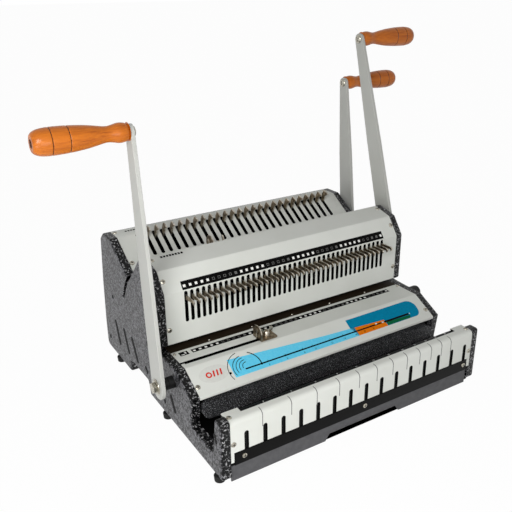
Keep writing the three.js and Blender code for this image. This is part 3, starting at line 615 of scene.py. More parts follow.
class BINDER_OT_panels(bpy.types.Operator):
    """Side panels in hammer finish, with their vents"""
    bl_idname = "binder.panels"
    bl_label = "Side panels"

    # Top and foot of each vent, and the middle of each hole, as depth and height
    vents = [((169.7, 74), (156, 35.7)), ((135, 75), (120, 38)), ((104, 75), (86, 40)),
             ((-26, 51.6), (-38, 29))]
    holes = [(202, 30), (56, 48), (52, 44), (-5, 29), (-147.7, 64.7), (-149.7, 59.3),
             (171, 111), (42, 93.6)]

    def execute(self, context):
        edge = settings("cover").edge_round / MM
        half, radius, thick = 4, 3.4, 0.2
        for node in ("left_side_panel", "right_side_panel"):
            # Flanges and folds take the black copy, painted shade with painted glints, and the
            # outer faces take the grey one
            refined_node(node, ["hammer", "fold"], "hammertone", edge,
                         lambda face: abs(face.normal.x) <= 0.6, panel_bend)
        for side, name in ((-1, "left"), (1, "right")):
            parts = []
            for top, foot in self.vents:
                run = Vector(top) - Vector(foot)
                middle = (Vector(top) + Vector(foot)) / 2
                turn = Matrix.Rotation(math.atan2(run.y, run.x), 4, "Z")
                parts.append((slab(bar_outline(run.length / 2, -half, half), 0, thick, 0.08,
                                   1), [SIDE_VIEW @ shift(*middle) @ turn]))
            parts.append((lathed([(0, 0), (radius, 0), (radius, 0.15), (0, thick)], 12),
                          [SIDE_VIEW @ shift(*hole) for hole in self.holes]))
            bm = gathered(parts)
            if side < 0:
                bmesh.ops.scale(bm, vec=(-1, 1, 1), verts=bm.verts)
                bmesh.ops.recalc_face_normals(bm, faces=bm.faces)
            # Vents and holes are near-black plates on the panel, painted shade where the openings
            # are
            make_piece(f"{name}_panel_vents", bm, "frame", ["recess"], "black_paint",
                       place=upright(side * (HALF_WIDTH + PROUD), 0, 0), weighted=False)
        return {"FINISHED"}


class BINDER_OT_covers(bpy.types.Operator):
    """Pale covers and the black pieces round them"""
    bl_idname = "binder.covers"
    bl_label = "Covers"

    def execute(self, context):
        # Each cover's inside faces and slot walls take the black inside finish, painted shade
        dark = {"back_cover": lambda face: face.normal.y < -0.1, "rear_deck": shaded_underside,
                "deck_cover": shaded_underside, "front_cover": shaded_slot_walls, "rear_cover": shaded_slot_walls,
                "front_wall_cover": shaded_slot_walls}
        for node, choose in dark.items():
            refined_node(node, ["cover", "inner"], "cover_paint", 0, choose)
        refined_node("front_rail", ["black"], "black_paint", 0.6, inset=RAIL_INSET)
        refined_node("chip_drawer", ["drawer"], "black_paint", 0.5, widen=DRAWER_WIDEN)
        dress(("front_wall_core", "channel_liner", "base_plate"), "black")
        dress(("front_die_plate", "rear_die_plate"), "die")
        # Pieces seen only through the slots take the black inside finish, painted shade
        dress(("chip_chute", "front_punch_guide", "rear_punch_guide", "front_punch_bar",
               "rear_punch_bar", "front_cam_shaft", "rear_cam_shaft", "front_shaft_bearing",
               "rear_shaft_bearing", "closer_shaft", "closer_gear", "crankshaft",
               "crankshaft_gear", "left_closer_bracket", "right_closer_bracket"), "inner")
        return {"FINISHED"}


def wall_steps():
    """Where each of the front wall's steps starts, and how wide it is."""
    at, gap, narrowing = -152.0, 40.5, 0.921
    steps = []
    for _ in range(12):
        steps.append((at, gap))
        at += gap
        gap *= narrowing
    return steps


class BINDER_OT_wall_steps(bpy.types.Operator):
    """Grey lines of painted shade at the edges of the front wall's steps, each step narrower than
    the last
    """
    bl_idname = "binder.wall_steps"
    bl_label = "Front wall steps"

    def execute(self, context):
        (depth, top), foot, reach, bend, thick, half = WALL_TOP, 66, 9, 6.0, 0.5, 0.5
        outer = rounded([(depth - PROUD, foot, 0), (depth - PROUD, top + PROUD, bend),
                         (depth + reach, top + PROUD, 0)], 8)
        inner = rounded([(depth + thick, foot, 0), (depth + thick, top - thick, bend - thick),
                         (depth + reach, top - thick, 0)], 8)
        # Each line is grey ink, painted shade where a step's edge turns
        step_edge_shade = slab([*outer, *reversed(inner)], -half, half)
        bm = gathered([(step_edge_shade, [SIDE_VIEW @ shift(z=at) for at, _ in wall_steps()])])
        make_piece("front_wall_scores", bm, "frame", ["grey_ink"], "cover_paint",
                   place=upright(0, 0, 0), weighted=False)
        return {"FINISHED"}


# Screws

def pan_screw(radius):
    """A pan head with a raised black cross, painted shade for its cross recess, standing on Z = 0.
    """
    head = lathed([(0, 0), (radius, 0), (radius, 0.5), (radius * 0.93, 1.1), (radius * 0.7, 1.6),
                   (radius * 0.35, 1.85), (0, 1.9)], 20)
    arm, slit, depth = radius * 0.55, 0.35, (1.2, 1.95)
    cross = joined(box_of((-arm, arm), (-slit, slit), depth),
                   box_of((-slit, slit), (-arm, arm), depth))
    return joined(head, paint_faces(cross, 1))


class BINDER_OT_screws(bpy.types.Operator):
    """Screws of the covers, the rail and the die"""
    bl_idname = "binder.screws"
    bl_label = "Screws"

    def execute(self, context):
        place = settings("cover").screw_place / MM
        radius = settings("cover").screw_radius / MM
        rows = [(FACE_BEND, BROW, 18), (FACE_FOOT, FACE_BEND, 21), (BROW, RIDGE, 24),
                (NOSE, DECK_BEND, 14.5), (WALL_FOOT, WALL_TOP, 25), (WALL_TOP, WALL_FLANGE, 9.5),
                (VALLEY, CROWN_FRONT, 27), (CROWN_FRONT, CROWN_REAR, 20)]
        sunk = shift(z=-0.5)
        cover = [on_sheet(low, high, side * place, along) @ sunk
                 for low, high, along in rows for side in (-1, 1)]
        deck = [on_sheet(DECK_BEND, DECK_REAR, side * 192, 36.5) for side in (-1, 1)]
        rail_face = box_place("front_rail")[0].y + RAIL_INSET
        rail = [on_sheet((rail_face, 31), (rail_face, 43), 3 + 180 * i, 4.5) for i in (-1, 0, 1)]
        die = [on_sheet((-6, 98.5), (0, 98.5), -2 + 67.4 * i, 3) for i in range(-2, 3)]
        for name, size, places in (("cover", radius, cover), ("deck", 1.9, deck),
                                   ("rail", 3.3, rail), ("die", 1.5, die)):
            make_piece(f"{name}_screws", gathered([(pan_screw(size), places)]), "frame",
                       ["steel", "recess"], "steel")
        return {"FINISHED"}


# Wire hooks, as side views: out of the cover at the left, the nose turned down

FRONT_HOOK = [(2, 73.6, 0), (-19.5, 74.3, 4), (-24.5, 72.6, 1.5), (-21.6, 67.6, 0.6),
              (-19.4, 70.6, 1.5), (-11, 68.9, 4), (2, 66.6, 0)]
REAR_HOOK = [(2, 65.5, 0), (-2.8, 68.7, 2), (-10.6, 71.6, 3), (-18.6, 71.6, 0.8),
             (-21, 60.2, 0.6), (-12.5, 63.6, 3), (2, 61.8, 0)]


class BINDER_OT_hooks(bpy.types.Operator):
    """Two rows of stamped wire hooks"""
    bl_idname = "binder.hooks"
    bl_label = "Wire hooks"

    def execute(self, context):
        values = settings("hooks")
        half = values.thickness / MM / 2
        for name, throat, lean, count, pitch, outline, foot, top in (
                ("front", FRONT_THROAT, 0, values.front_count, FRONT_PITCH, FRONT_HOOK, 67.2, 74.3),
                ("rear", REAR_THROAT, REAR_TILT, values.rear_count, REAR_PITCH, REAR_HOOK, 61.8,
                 71.6)):
            # Flat sides take the darker zinc copy, painted shade, and the edges take the pale copy,
            # painted highlight
            hook = paint_faces(slab(rounded(outline, 3), -half, half, 0.35, 1),
                               lambda face: 2 if abs(face.normal.z) > 0.9 else 0)
            middle = (count - 1) / 2
            places = [SIDE_VIEW @ shift(z=(i - middle) * pitch) for i in range(count)]
            span = middle * pitch + pitch / 2
            rail = box_of((-span, span), (1.8, 7.8), (foot - 3, top + 3), 0.4)
            # The carrier rail takes the black inside finish, painted shade
            bm = gathered([(hook, places), (paint_faces(rail, 1), [Matrix()])])
            make_piece(f"{name}_hooks_shown", bm, f"{name}_hooks", ["zinc", "inner", "stamped"],
                       "yellow_zinc", [f"{name}_hook_row"], upright(0, *throat, lean))
        return {"FINISHED"}


# Edge guides

STUD = -66


def guide_bracket(edge, top):
    """A bracket with a round-topped fence, a foot on the deck and a stud through it."""
    front, half, plate = -54, 11, 1.6
    fence = slab(rounded([(-half, 0.3, 0), (half, 0.3, 0), (half, top, half * 0.99),
                          (-half, top, half * 0.99)], 8), edge, edge + plate, 0.4)
    base = slab(rounded([(edge, -half, 0), (front, -half, 3), (front, half, 3),
                         (edge, half, 0)], 4), 0.3, 0.3 + plate, 0.4)
    stud = lathed([(0, -3.6), (2.4, -3.6), (2.4, 7.6), (1.9, 8.1), (0, 8.1)], 20)
    head = box_of((STUD - 5, STUD + 5), (-2.5, 2.5), (-3.8, -1.8), 0.3)
    # The fence's rims and the rib take the pale zinc copy, painted highlight; the flat sides, foot,
    # stud and head keep the darker copy, painted shade
    paint_faces(fence, lambda face: abs(face.normal.z) < 0.9)
    rib = paint_faces(box_of((edge - 1.2, edge), (-1.6, 1.6), (0.4, top - 5), 0.4), 1)
    stand = [Matrix()]
    return gathered([(fence, [SIDE_VIEW]), (base, stand), (stud, [shift(STUD)]), (head, stand),
                     (rib, stand)])


def wing_nut(tall, turn):
    """A pressed wing nut on the guide's stud, its wings turned by an angle in degrees."""
    body = lathed([(2.7, 0), (5.2, 0), (5.2, 1), (4.4, 4.4), (3.6, 6), (2.7, 6), (2.7, 0)], 24)
    wing = slab(rounded([(3, 0.6, 0), (5.2, 0.6, 1), (11, tall - 3, 2.4), (9.4, tall, 2.4),
                         (6.6, tall, 1.6), (3, 4.4, 1)], 5), -0.8, 0.8, 0.4)
    bm = gathered([(body, [Matrix()]), (wing, [turned(180 * i) @ FRONT_VIEW for i in (0, 1)])])
    seat = 2.2
    bm.transform(shift(STUD, 0, seat) @ turned(turn))
    return bm


class BINDER_OT_edge_guides(bpy.types.Operator):
    """Edge guides on the two decks, each with its wing nut"""
    bl_idname = "binder.edge_guides"
    bl_label = "Edge guides"

    def execute(self, context):
        for name, edge, top, tall, turn in (("front", -80.5, 20, 11, 0),
                                            ("rear", -84.5, 26, 17, 90)):
            _, back, up = JOINTS[f"{name}_nut_turn"]["axis"]
            at = joint_place(f"{name}_nut_turn")
            deck = upright(0, at.y, at.z, math.degrees(math.atan2(back, up)))
            make_piece(f"{name}_guide_shown", guide_bracket(edge, top), f"{name}_guide",
                       ["stamped", "zinc"], "yellow_zinc", [f"{name}_edge_guide"], deck)
            make_piece(f"{name}_nut_shown", wing_nut(tall, turn), f"{name}_nut", ["zinc"],
                       "yellow_zinc", [f"{name}_wing_nut"], deck)
        return {"FINISHED"}


# Closing bar

class BINDER_OT_closing_bar(bpy.types.Operator):
    """The round-ended bar that closes the wire, with its two arms"""
    bl_idname = "binder.closing_bar"
    bl_label = "Closing bar"

    def execute(self, context):
        low, high = box_place("closing_bar")
        # The bar's head stands lower than the solid's, so that the channel shows above it
        face, rear, foot, head = low.y, low.y + 12, 44.3, high.z - 7.4
        bar = slab(bar_outline(191.5, foot, head, 12), -rear, -face, 0.9, 3)
        # The crank rests half its swing behind its lowest point
        crank_depth, crank_height, crank, rest = -4.7, 77, 27, math.radians(94.5 / 2)
        reach, slot_foot = 4.7, 46.2
        pin = crank_depth + crank * math.sin(rest)
        slot_top = crank_height - crank * math.cos(rest) + reach
        slot = rectangle(pin - reach, pin + reach, slot_foot, slot_top)
        arm = frame_plate(rectangle(rear - 0.3, 27, foot, 65), slot, 0, 10, 0.4)
        bm = gathered([(bar, [FRONT_VIEW]), (arm, [SIDE_VIEW @ shift(z=at) for at in (166, -176)])])
        make_piece("closing_bar_shown", bm, "closing_bar_body", ["bar"], "hammertone",
                   ["closing_bar"], upright(0, 0, 0))
        return {"FINISHED"}


# Levers

# A grip's outline from the arm outwards: share of its length, share of its largest radius
GRIP_SHAPE = [(0, 0.52), (0.01, 0.6), (0.035, 0.685), (0.08, 0.735), (0.12, 0.72),
              (0.17, 0.64), (0.22, 0.59), (0.27, 0.615), (0.34, 0.71), (0.44, 0.83), (0.54, 0.91),
              (0.64, 0.965), (0.74, 0.995), (0.82, 1.0), (0.88, 0.975), (0.93, 0.92),
              (0.965, 0.83), (0.985, 0.74), (1, 0.62)]
GROOVES = (0.635, 0.815)
GROOVE_HALF = 0.9


def eased(points):
    """A smooth run through points, each span a cubic in five steps."""
    padded = [points[0], *points, points[-1]]
    run = []
    for a, b, c, d in zip(padded, padded[1:], padded[2:], padded[3:]):
        for t in (0, 0.2, 0.4, 0.6, 0.8):
            run.append(tuple(
                0.5 * (2 * q + (r - p) * t + (2 * p - 5 * q + 4 * r - s) * t * t
                       + (3 * q - p - 3 * r + s) * t ** 3)
                for p, q, r, s in zip(a, b, c, d)))
    return [*run, points[-1]]


def turned_grip(length, radius, groove):
    """A turned wooden grip about Z, from the arm outwards, with two grooves and a sunk end."""
    profile = [(min(share, 1) * radius, min(along, 1) * length)
               for along, share in eased(GRIP_SHAPE)]

    def to_groove(height):
        return min(abs(height / length - place) * length for place in GROOVES)

    cut = [(rim - groove * max(0, 1 - to_groove(height) / GROOVE_HALF), height)
           for rim, height in profile]
    for place in GROOVES:
        for off in (-1, -0.5, 0, 0.5, 1):
            height = place * length + off * GROOVE_HALF
            before = max((p for p in profile if p[1] <= height), key=lambda p: p[1])
            after = min((p for p in profile if p[1] >= height), key=lambda p: p[1])
            share = (height - before[1]) / max(after[1] - before[1], 1e-6)
            rim = before[0] + (after[0] - before[0]) * share
            cut.append((rim - groove * (1 - abs(off)), height))
    cut.sort(key=lambda p: p[1])
    bore = 4.3
    sunk = [(bore + 0.6, length), (bore, length - 2.5), (bore, 0), (radius * 0.7, 0)]

    # Darker wood in the grooves, and painted shade inside the bore
    def scorched(face):
        middle = face.calc_center_median()
        return to_groove(middle.z) < 0.5 or middle.xy.length < bore + 0.4

    return paint_faces(lathed([*cut, *sunk], 48), scorched)


def arc(radius, height, start, end, steps):
    """Points of an arc about a height on the Y axis, between two angles in radians."""
    return [Vector((radius * math.cos(a), height + radius * math.sin(a)))
            for a in (start + (end - start) * i / steps for i in range(steps + 1))]


def arm_plate(length, thickness, round_edge):
    """A tapered arm in Y and Z, thick along X from zero."""
    foot, top, middle = 17, 8.5, 14.5
    outline = [Vector((foot, 0)), Vector((middle, length / 2)), *arc(top, length, 0, math.pi, 12),
               Vector((-middle, length / 2)), *arc(foot, 0, math.pi, math.tau, 20)[:-1]]
    return slab(outline, 0, thickness, round_edge, 3)


def hex_bolt():
    """A hexagon head on two washers, standing on Z = 0, with its shank below."""
    washer = lathed([(4, 0), (10, 0), (10.2, 0.4), (10, 0.8), (8.4, 0.9), (8.6, 1.3), (8.2, 1.6),
                     (4, 1.6)])
    head = slab(arc(7.4, 0, 0, math.tau, 6)[:-1], 1.6, 6.4, 0.5)
    shank = lathed([(0, -19.7), (3.6, -19.7), (4, -19.2), (4, 1.7), (0, 1.7)], 20)
    return joined(washer, head, shank)


def grip_bolt(reach):
    """A round head on Z = 0, pointing down, and its shank up through the arm and the grip."""
    head = lathed([(0, -3.3), (3.6, -3.1), (5.6, -2.2), (6.5, -0.9), (6.5, -0.3), (4, -0.3),
                   (4, reach - 0.5), (3.5, reach), (0, reach)], 24)
    # A black bar across the head is painted shade for its slot
    return joined(head, paint_faces(box_of((-3.4, 3.4), (-0.5, 0.5), (-3.4, -2.9)), 1))


def pivot_bush(gap):
    """A bush with a groove round its middle, which fills the gap between panel and arm."""
    return lathed([(6.3, 0), (8, 0), (8, gap * 0.46), (7.5, gap * 0.48), (7.5, gap * 0.52),
                   (8, gap * 0.54), (8, gap), (6.3, gap), (6.3, 0)], 40)


class BINDER_OT_levers(bpy.types.Operator):
    """Three levers, each with its arm, bush, bolts and turned grip"""
    bl_idname = "binder.levers"
    bl_label = "Levers"

    def execute(self, context):
        values = settings("levers")
        thick, grip_length = 5, 104
        for name in ("closer", "front", "rear"):
            pivot = joint_place(f"{name}_lever_swing")
            along = (joint_place(f"{name}_grip_turn") - pivot).yz
            low, high = (corner.x for corner in box_place(f"{name}_lever_arm"))
            side = -1 if low < 0 else 1
            inner = high if side < 0 else low
            outer = inner + side * thick
            stand = upright(0, pivot.y, pivot.z, math.degrees(math.atan2(along.x, along.y)))
            outward = turned(90 * side, "Y")
            at_head = stand @ shift(inner, 0, along.length) @ outward
            for shown, node, bm, place, finishes, slot in (
                    ("arm", "lever_arm", arm_plate(along.length, thick, values.arm_round / MM),
                     stand @ shift(min(inner, outer)) @ SIDE_VIEW, ["lever"], "lever_paint"),
                    ("pivot_bolt", "pivot_bolt", hex_bolt(),
                     stand @ shift(outer) @ outward @ shift(z=0.3), ["steel"], "steel"),
                    ("bush", "pivot_bush", pivot_bush(abs(inner) - HALF_WIDTH - 0.6),
                     stand @ shift(side * (HALF_WIDTH + 0.3)) @ outward, ["plastic"],
                     "black_plastic"),
                    ("grip_bolt", "grip_bolt", grip_bolt(thick + grip_length - 15), at_head,
                     ["steel", "recess"], "steel")):
                make_piece(f"{name}_{shown}_shown", bm, f"{name}_lever", finishes, slot,
                           [f"{name}_{node}"], place)
            grip = turned_grip(grip_length, values.grip_radius / MM, values.groove / MM)
            make_piece(f"{name}_grip_shown", grip, f"{name}_grip_body", ["wood", "scorched"],
                       "wood", [f"{name}_grip"], at_head @ shift(z=thick + 0.3), angle=60)
        return {"FINISHED"}


# Knob and feet

class BINDER_OT_knob_and_feet(bpy.types.Operator):
    """The size knob and six rubber feet"""
    bl_idname = "binder.knob_and_feet"
    bl_label = "Knob and feet"

    def execute(self, context):
        stem = [(0, -8), (4, -8), (4, 0.3), (7.4, 0.3), (7.4, 3), (9.2, 4.4), (9.2, 18.5),
                (8.6, 20.2), (7.2, 21), (6.2, 21), (5.7, 20.3), (0, 20.3)]
        rib = box_of((8.8, 9.45), (-0.5, 0.5), (5.4, 17.8), 0.2)
        bm = gathered([(lathed(stem, 48), [Matrix()]), (rib, [turned(15 * i) for i in range(24)])])
        at = joint_place("knob_turn")
        make_piece("size_knob_shown", bm, "knob", ["plastic"], "black_plastic", ["size_knob"],
                   upright(HALF_WIDTH, at.y, at.z) @ turned(90, "Y"))
        for side in ("left", "right"):
            for row in ("front", "middle", "rear"):
                node = f"{side}_{row}_foot"
                low, high = box_place(node)
                middle, size = (low + high) / 2, high - low
                wide, tall = size.x / 2, size.z
                foot = lathed([(0, 0), (wide - 1.4, 0), (wide - 0.7, 0.6), (wide, tall - 1.2),
                               (wide - 0.7, tall - 0.2), (wide - 1.6, tall), (0, tall)])
                make_piece(f"{node}_shown", foot, "frame", ["rubber"], "rubber", [node],
                           upright(middle.x, middle.y, 0))
        return {"FINISHED"}


# Printed marks

INKS = ("black_ink", "white_ink", "grey_ink", "sky_ink", "blue_ink", "orange_ink", "green_ink",
        "red_ink", "haze_ink")


def ink(outline, name, layer):
    """A print of one colour, on a layer above the sheet."""
    low = PROUD + INK * layer
    return paint_faces(slab(outline, low, low + INK), INKS.index(name))


def ring(centre, radius, width, start=0, end=359):
    """Part of a ring, between two angles in degrees."""
    steps = 24
    angles = [math.radians(start + (end - start) * i / steps) for i in range(steps + 1)]
    outer, inner = radius + width / 2, radius - width / 2
    return [(centre[0] + reach * math.cos(a), centre[1] + reach * math.sin(a))
            for reach, run in ((outer, angles), (inner, reversed(angles))) for a in run]


def number(text, height, x, y, name, layer):
    """A plain printed number, its middle at a place on the sheet."""
    curve = bpy.data.curves.new("number", "FONT")
    curve.body = text
    curve.size = height
    curve.align_x = "CENTER"
    curve.align_y = "CENTER"
    curve.resolution_u = 2
    writing = bpy.data.objects.new("number", curve)
    bpy.context.scene.collection.objects.link(writing)
    bpy.context.view_layer.update()
    mesh = bpy.data.meshes.new_from_object(writing)
    bm = bmesh.new()
    bm.from_mesh(mesh)
    bpy.data.objects.remove(writing)
    bpy.data.curves.remove(curve)
    bpy.data.meshes.remove(mesh)
    bm.transform(shift(x, y, PROUD + INK * (layer + 1)))
    return paint_faces(bm, INKS.index(name))


def marker_strip(half, low, high, side, middle):
    """A black strip with one hole marker above each slot."""
    parts = [ink(rectangle(-half, half, low, high), "black_ink", 0)]
    # Five white, four hollow and one grey in turn; the last five differ
    kinds = (["white"] * 5 + ["hollow"] * 4 + ["grey"]) * 4
    kinds[-5:] = ["hollow", "hollow", "grey", "grey", "white"]
    for i, kind in enumerate(kinds):
        at, reach = (i - (len(kinds) - 1) / 2) * FRONT_PITCH, side / 2
        outer = rectangle(at - reach, at + reach, middle - reach, middle + reach)
        if kind == "white":
            parts.append(ink(outer, "white_ink", 1))
            continue
        reach -= 0.5 if kind == "hollow" else 1.3
        inner = rectangle(at - reach, at + reach, middle - reach, middle + reach)
        foot = PROUD + INK
        parts.append(paint_faces(frame_plate(outer, inner, foot, foot + INK),
                                 INKS.index("grey_ink")))
    return joined(*parts)


def gauge():
    """The printed wire gauge on the sloping part of the deck, its Y measured from the bend."""
    half = settings("prints").line / MM / 2
    ruled, start, end = -27.4, -121.4, 112.2
    band = [(-139, -34.6), (60, -35.2), (60, -20.8), (10, -18.4), (-60, -13), (-139, -7)]
    blue = rounded([(53.6, -20.4, 0), (60, -35, 0), (178, -35, 11), (182, -6, 13.5),
                    (54.4, -6, 0)], 10)
    # A plain red mark in a pale oval
    mark, mark_up = -163, -19.3
    oval = [(mark + 21 * math.cos(a), mark_up + 12 * math.sin(a))
            for a in (math.tau * i / 40 for i in range(40))]
    fields = [
        (band, "sky_ink", 0),
        (blue, "blue_ink", 0),
        ([(60.6, -35), (113.2, -35), (113.2, -24), (60.6, -21.2)], "orange_ink", 1),
        ([(114.6, -34.4), (157.5, -34.4), (160, -30), (114.6, -29)], "green_ink", 1),
        (rectangle(112, 158.6, -29.2, -26.2), "black_ink", 2),
        (rectangle(start, end, ruled - half, ruled + half), "black_ink", 2),
        (ring((-118, -24), 21, 1.4, -14, 62), "black_ink", 2),
        (ring((-143, -26.3), 0.9, 1.6), "black_ink", 2),
        (rectangle(95.2, 98.4, -27, -25.2), "white_ink", 3),
        (rectangle(107, 110.6, -28.2, -26.2), "white_ink", 3),
        (ring((160.4, -27.6), 0.5, 0.9), "white_ink", 3),
        (oval, "haze_ink", 0),
        (ring((mark - 7.5, mark_up), 3.2, 1.9), "red_ink", 1)]
    fields += [(rectangle(at - 0.3, at + 0.3, ruled, ruled + 2.4), "black_ink", 2)
               for at in (-87, -60, -32, -16, 14, 36, 57)]
    fields += [(ring((start + 2 + i * 0.6, -26 + i * 0.4), radius, 0.9, 100 - i * 4, 205 - i * 4),
                "black_ink", 2) for i, radius in enumerate((25, 18.5, 14.5, 10.5, 6.5))]
    fields += [([(at - 2, -23.5), (at + 0.2, -23.5), (at + 2, -15), (at - 0.2, -15)],
                "red_ink", 1) for at in (-163.5, -158.5, -153.5)]
    numbers = [(text, 3.6, at, -32.2, "black_ink", 1)
               for text, at in (("4", -88), ("6", -60), ("8", -32), ("10", -14), ("12", 14),
                                ("14", 36), ("16", 56))]
    numbers += [(text, 3.6, at, -31.6, "black_ink", 2) for text, at in (("20", 72), ("24", 88))]
    return joined(*[ink(*field) for field in fields], *[number(*mark) for mark in numbers])


def blocks(left, right, foot, head):
    """A row of plain blocks."""
    width, pitch = 3, 4.2
    places = [shift(left + i * pitch) for i in range(int((right - left) / pitch))]
    return gathered([(ink(rectangle(0, width, foot, head), "black_ink", 0), places)])


class BINDER_OT_prints(bpy.types.Operator):
    """Hole markers, the wire gauge and the plain number marks"""
    bl_idname = "binder.prints"
    bl_label = "Printed marks"

    def execute(self, context):
        half, side = settings("prints").strip_half / MM, settings("prints").square / MM
        block = [ink(rectangle(-186.5, -174, 28.6, 38), "black_ink", 0),
                 ink(rectangle(-184.5, -180, 30.2, 31.8), "white_ink", 1),
                 ink(rectangle(-178.6, -176.8, 31.6, 36.6), "white_ink", 1)]
        # Painted shade in black ink, where the guide slot's front edge is bent down and in shadow
        slot_edge_shade = ink(rectangle(-190, -58, 8.6, 11), "black_ink", 0)
        slope = (Vector(DECK_BEND) - Vector(NOSE)).length
        sizes = ("5", "6", "8", "9", "11", "12", "14", "16", "19", "22", "25", "28")
        tall, share, up = 3.4, 0.3, 17.6
        wall = [number(text, tall, at + gap * share, up, "white_ink", 0)
                for text, (at, gap) in zip(sizes, wall_steps())]
        for name, bm, place in (
                ("hole_marker_strip", marker_strip(half, 1.2, 13, side, 6.4),
                 on_sheet(FACE_BEND, BROW)),
                ("deck_marker_strip", joined(marker_strip(half, 29, 37.4, side * 0.95, 33), *block,
                                             slot_edge_shade), on_sheet(DECK_BEND, DECK_REAR)),
                ("wire_gauge_print", gauge(), on_sheet(NOSE, DECK_BEND, 0, slope)),
                ("ridge_marks", blocks(-178, -144, 25, 29), on_sheet(BROW, RIDGE)),
                ("crown_marks", blocks(-176, -158, 16.5, 20.5), on_sheet(CROWN_FRONT, CROWN_REAR)),
                ("wall_number_marks", joined(*wall),
                 on_sheet((WALL_TOP[0], CORE_TOP), (WALL_FLANGE[0], CORE_TOP)))):
            make_piece(name, bm, "frame", INKS, place=place, weighted=False)
        return {"FINISHED"}


# Stage

def seen_rays(tree):
    """1 for a ray that the camera sends, straight on, mirrored or through glass."""
    path = add(tree, "ShaderNodeLightPath").outputs
    seen = add(tree, "ShaderNodeMath", {0: path["Is Camera Ray"], 1: path["Is Glossy Ray"]},
               operation="MAXIMUM")
    return add(tree, "ShaderNodeMath", {0: seen.outputs["Value"],
                                        1: path["Is Transmission Ray"]},
               operation="MAXIMUM").outputs["Value"]


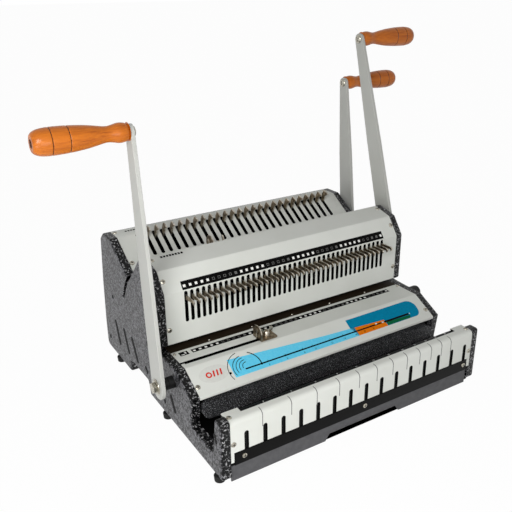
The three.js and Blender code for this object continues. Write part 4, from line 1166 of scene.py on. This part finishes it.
class BINDER_OT_stage(bpy.types.Operator):
    """A pale floor, soft lamps and the camera"""
    bl_idname = "binder.stage"
    bl_label = "Stage"

    # Each lamp's place, the height that it is aimed at over the origin, and its size, in metres
    lamps = {"key": ((-0.78, -0.82, 0.74), 0.15, (0.45, 0.45)),
             "fill": ((-0.35, -0.65, 0.35), 0.15, (0.3, 0.3)),
             "side": ((-0.8, -0.55, 0.1), 0.12, (0.35, 0.25))}
    # The camera's place in millimetres, and its azimuth, elevation and roll in degrees
    eye = (-479.83, -695.2, 535.5)
    angles = (-31.175, 22.309, -0.895)

    def floor(self, values):
        bm = bmesh.new()
        reach, below, glowing = 30, 0.0005, 0.97
        bmesh.ops.create_grid(bm, x_segments=1, y_segments=1, size=reach)
        mesh = bpy.data.meshes.new("floor")
        bm.to_mesh(mesh)
        bm.free()
        ground = bpy.data.objects.new("floor", mesh)
        ground.location.z = -below
        bpy.context.scene.collection.objects.link(ground)
        paper = bpy.data.materials.new("white_paper_floor")
        paper.use_nodes = True
        tree = paper.node_tree
        tree.nodes.remove(tree.nodes["Principled BSDF"])
        matte = add(tree, "ShaderNodeBsdfDiffuse", {"Color": tuple(values.floor_colour)})
        glow = add(tree, "ShaderNodeEmission", {"Strength": 1.0})
        # A trace of the matte floor stays in view, and the machine's shadow with it
        share = add(tree, "ShaderNodeMath", {0: seen_rays(tree), 1: glowing},
                    operation="MULTIPLY")
        both = add(tree, "ShaderNodeMixShader", {0: share.outputs["Value"],
                                                 1: matte.outputs["BSDF"],
                                                 2: glow.outputs["Emission"]})
        tree.links.new(both.outputs["Shader"], tree.nodes["Material Output"].inputs["Surface"])
        mesh.materials.append(paper)

    def sky(self, values):
        world = bpy.data.worlds.new("studio")
        world.use_nodes = True
        bpy.context.scene.world = world
        tree = world.node_tree
        tree.nodes.remove(tree.nodes["Background"])
        height = add(tree, "ShaderNodeSeparateXYZ",
                     {"Vector": add(tree, "ShaderNodeTexCoord").outputs["Generated"]})
        ceiling = add(tree, "ShaderNodeMapRange", {"Value": height.outputs["Z"],
                                                   "From Min": 0.25, "From Max": 0.65,
                                                   "To Min": 1.0, "To Max": 0.8})
        dimmed = add(tree, "ShaderNodeMath", {0: ceiling.outputs["Result"],
                                              1: values.sky_strength}, operation="MULTIPLY")
        soft, white = (add(tree, "ShaderNodeBackground", {"Color": (1, 1, 1, 1),
                                                          "Strength": strength})
                       for strength in (dimmed.outputs["Value"], ceiling.outputs["Result"]))
        mix = add(tree, "ShaderNodeMixShader", {0: seen_rays(tree),
                                                1: soft.outputs["Background"],
                                                2: white.outputs["Background"]})
        tree.links.new(mix.outputs["Shader"], tree.nodes["World Output"].inputs["Surface"])

    def lamp(self, name, place, aim, size, watts):
        light = bpy.data.lights.new(name, "AREA")
        light.shape = "RECTANGLE"
        light.size, light.size_y = size
        light.energy = watts
        holder = bpy.data.objects.new(name, light)
        holder.location = place
        look = Vector((0, 0, aim)) - Vector(place)
        holder.rotation_euler = look.to_track_quat("-Z", "Y").to_euler()
        holder.visible_camera = False
        bpy.context.scene.collection.objects.link(holder)

    def camera(self, values):
        data = bpy.data.cameras.new("camera")
        data.lens = values.lens
        data.sensor_width = 36
        holder = bpy.data.objects.new("camera", data)
        azimuth, elevation, roll = (math.radians(a) for a in self.angles)
        back = Vector((math.sin(azimuth) * math.cos(elevation),
                       -math.cos(azimuth) * math.cos(elevation), math.sin(elevation)))
        right = Vector((0, 0, 1)).cross(back).normalized()
        up = back.cross(right)
        right, up = (right * math.cos(roll) + up * math.sin(roll),
                     up * math.cos(roll) - right * math.sin(roll))
        turn = Matrix((right, up, back)).transposed().to_4x4()
        holder.matrix_world = shift(*spot(*self.eye)) @ turn
        bpy.context.scene.collection.objects.link(holder)
        bpy.context.scene.camera = holder

    def execute(self, context):
        values = settings("stage")
        self.floor(values)
        self.sky(values)
        for name, (place, aim, size) in self.lamps.items():
            self.lamp(f"{name}_lamp", place, aim, size, getattr(values, f"{name}_power"))
        self.camera(values)
        bpy.context.scene.view_settings.view_transform = "Standard"
        return {"FINISHED"}


OPERATORS = (BINDER_OT_panels, BINDER_OT_covers, BINDER_OT_wall_steps, BINDER_OT_screws,
             BINDER_OT_hooks, BINDER_OT_edge_guides, BINDER_OT_closing_bar, BINDER_OT_levers,
             BINDER_OT_knob_and_feet, BINDER_OT_prints, BINDER_OT_stage)
GROUPS = {"finish": FinishSettings, "cover": CoverSettings, "hooks": HookSettings,
          "levers": LeverSettings, "prints": PrintSettings, "stage": StageSettings}


class BINDER_PT_sidebar(bpy.types.Panel):
    """The machine's pieces, in the order they are made"""
    bl_idname = "BINDER_PT_sidebar"
    bl_label = "Wire binding machine"
    bl_space_type = "VIEW_3D"
    bl_region_type = "UI"
    bl_category = "Binder"

    def draw(self, context):
        for operator in OPERATORS:
            self.layout.operator(operator.bl_idname)
        for name, group in GROUPS.items():
            box = self.layout.box()
            for key in group.__annotations__:
                box.prop(settings(name), key)


def register():
    for item in (*GROUPS.values(), *OPERATORS, BINDER_PT_sidebar):
        bpy.utils.register_class(item)
    for name, group in GROUPS.items():
        setattr(bpy.types.Scene, f"binder_{name}", PointerProperty(type=group))


def unregister():
    for name in GROUPS:
        delattr(bpy.types.Scene, f"binder_{name}")
    for item in (BINDER_PT_sidebar, *reversed(OPERATORS), *GROUPS.values()):
        bpy.utils.unregister_class(item)


def main():
    register()
    make_materials()
    for operator in OPERATORS:
        group, name = operator.bl_idname.split(".")
        getattr(getattr(bpy.ops, group), name)()
    bpy.context.view_layer.update()


if __name__ == "__main__":
    main()
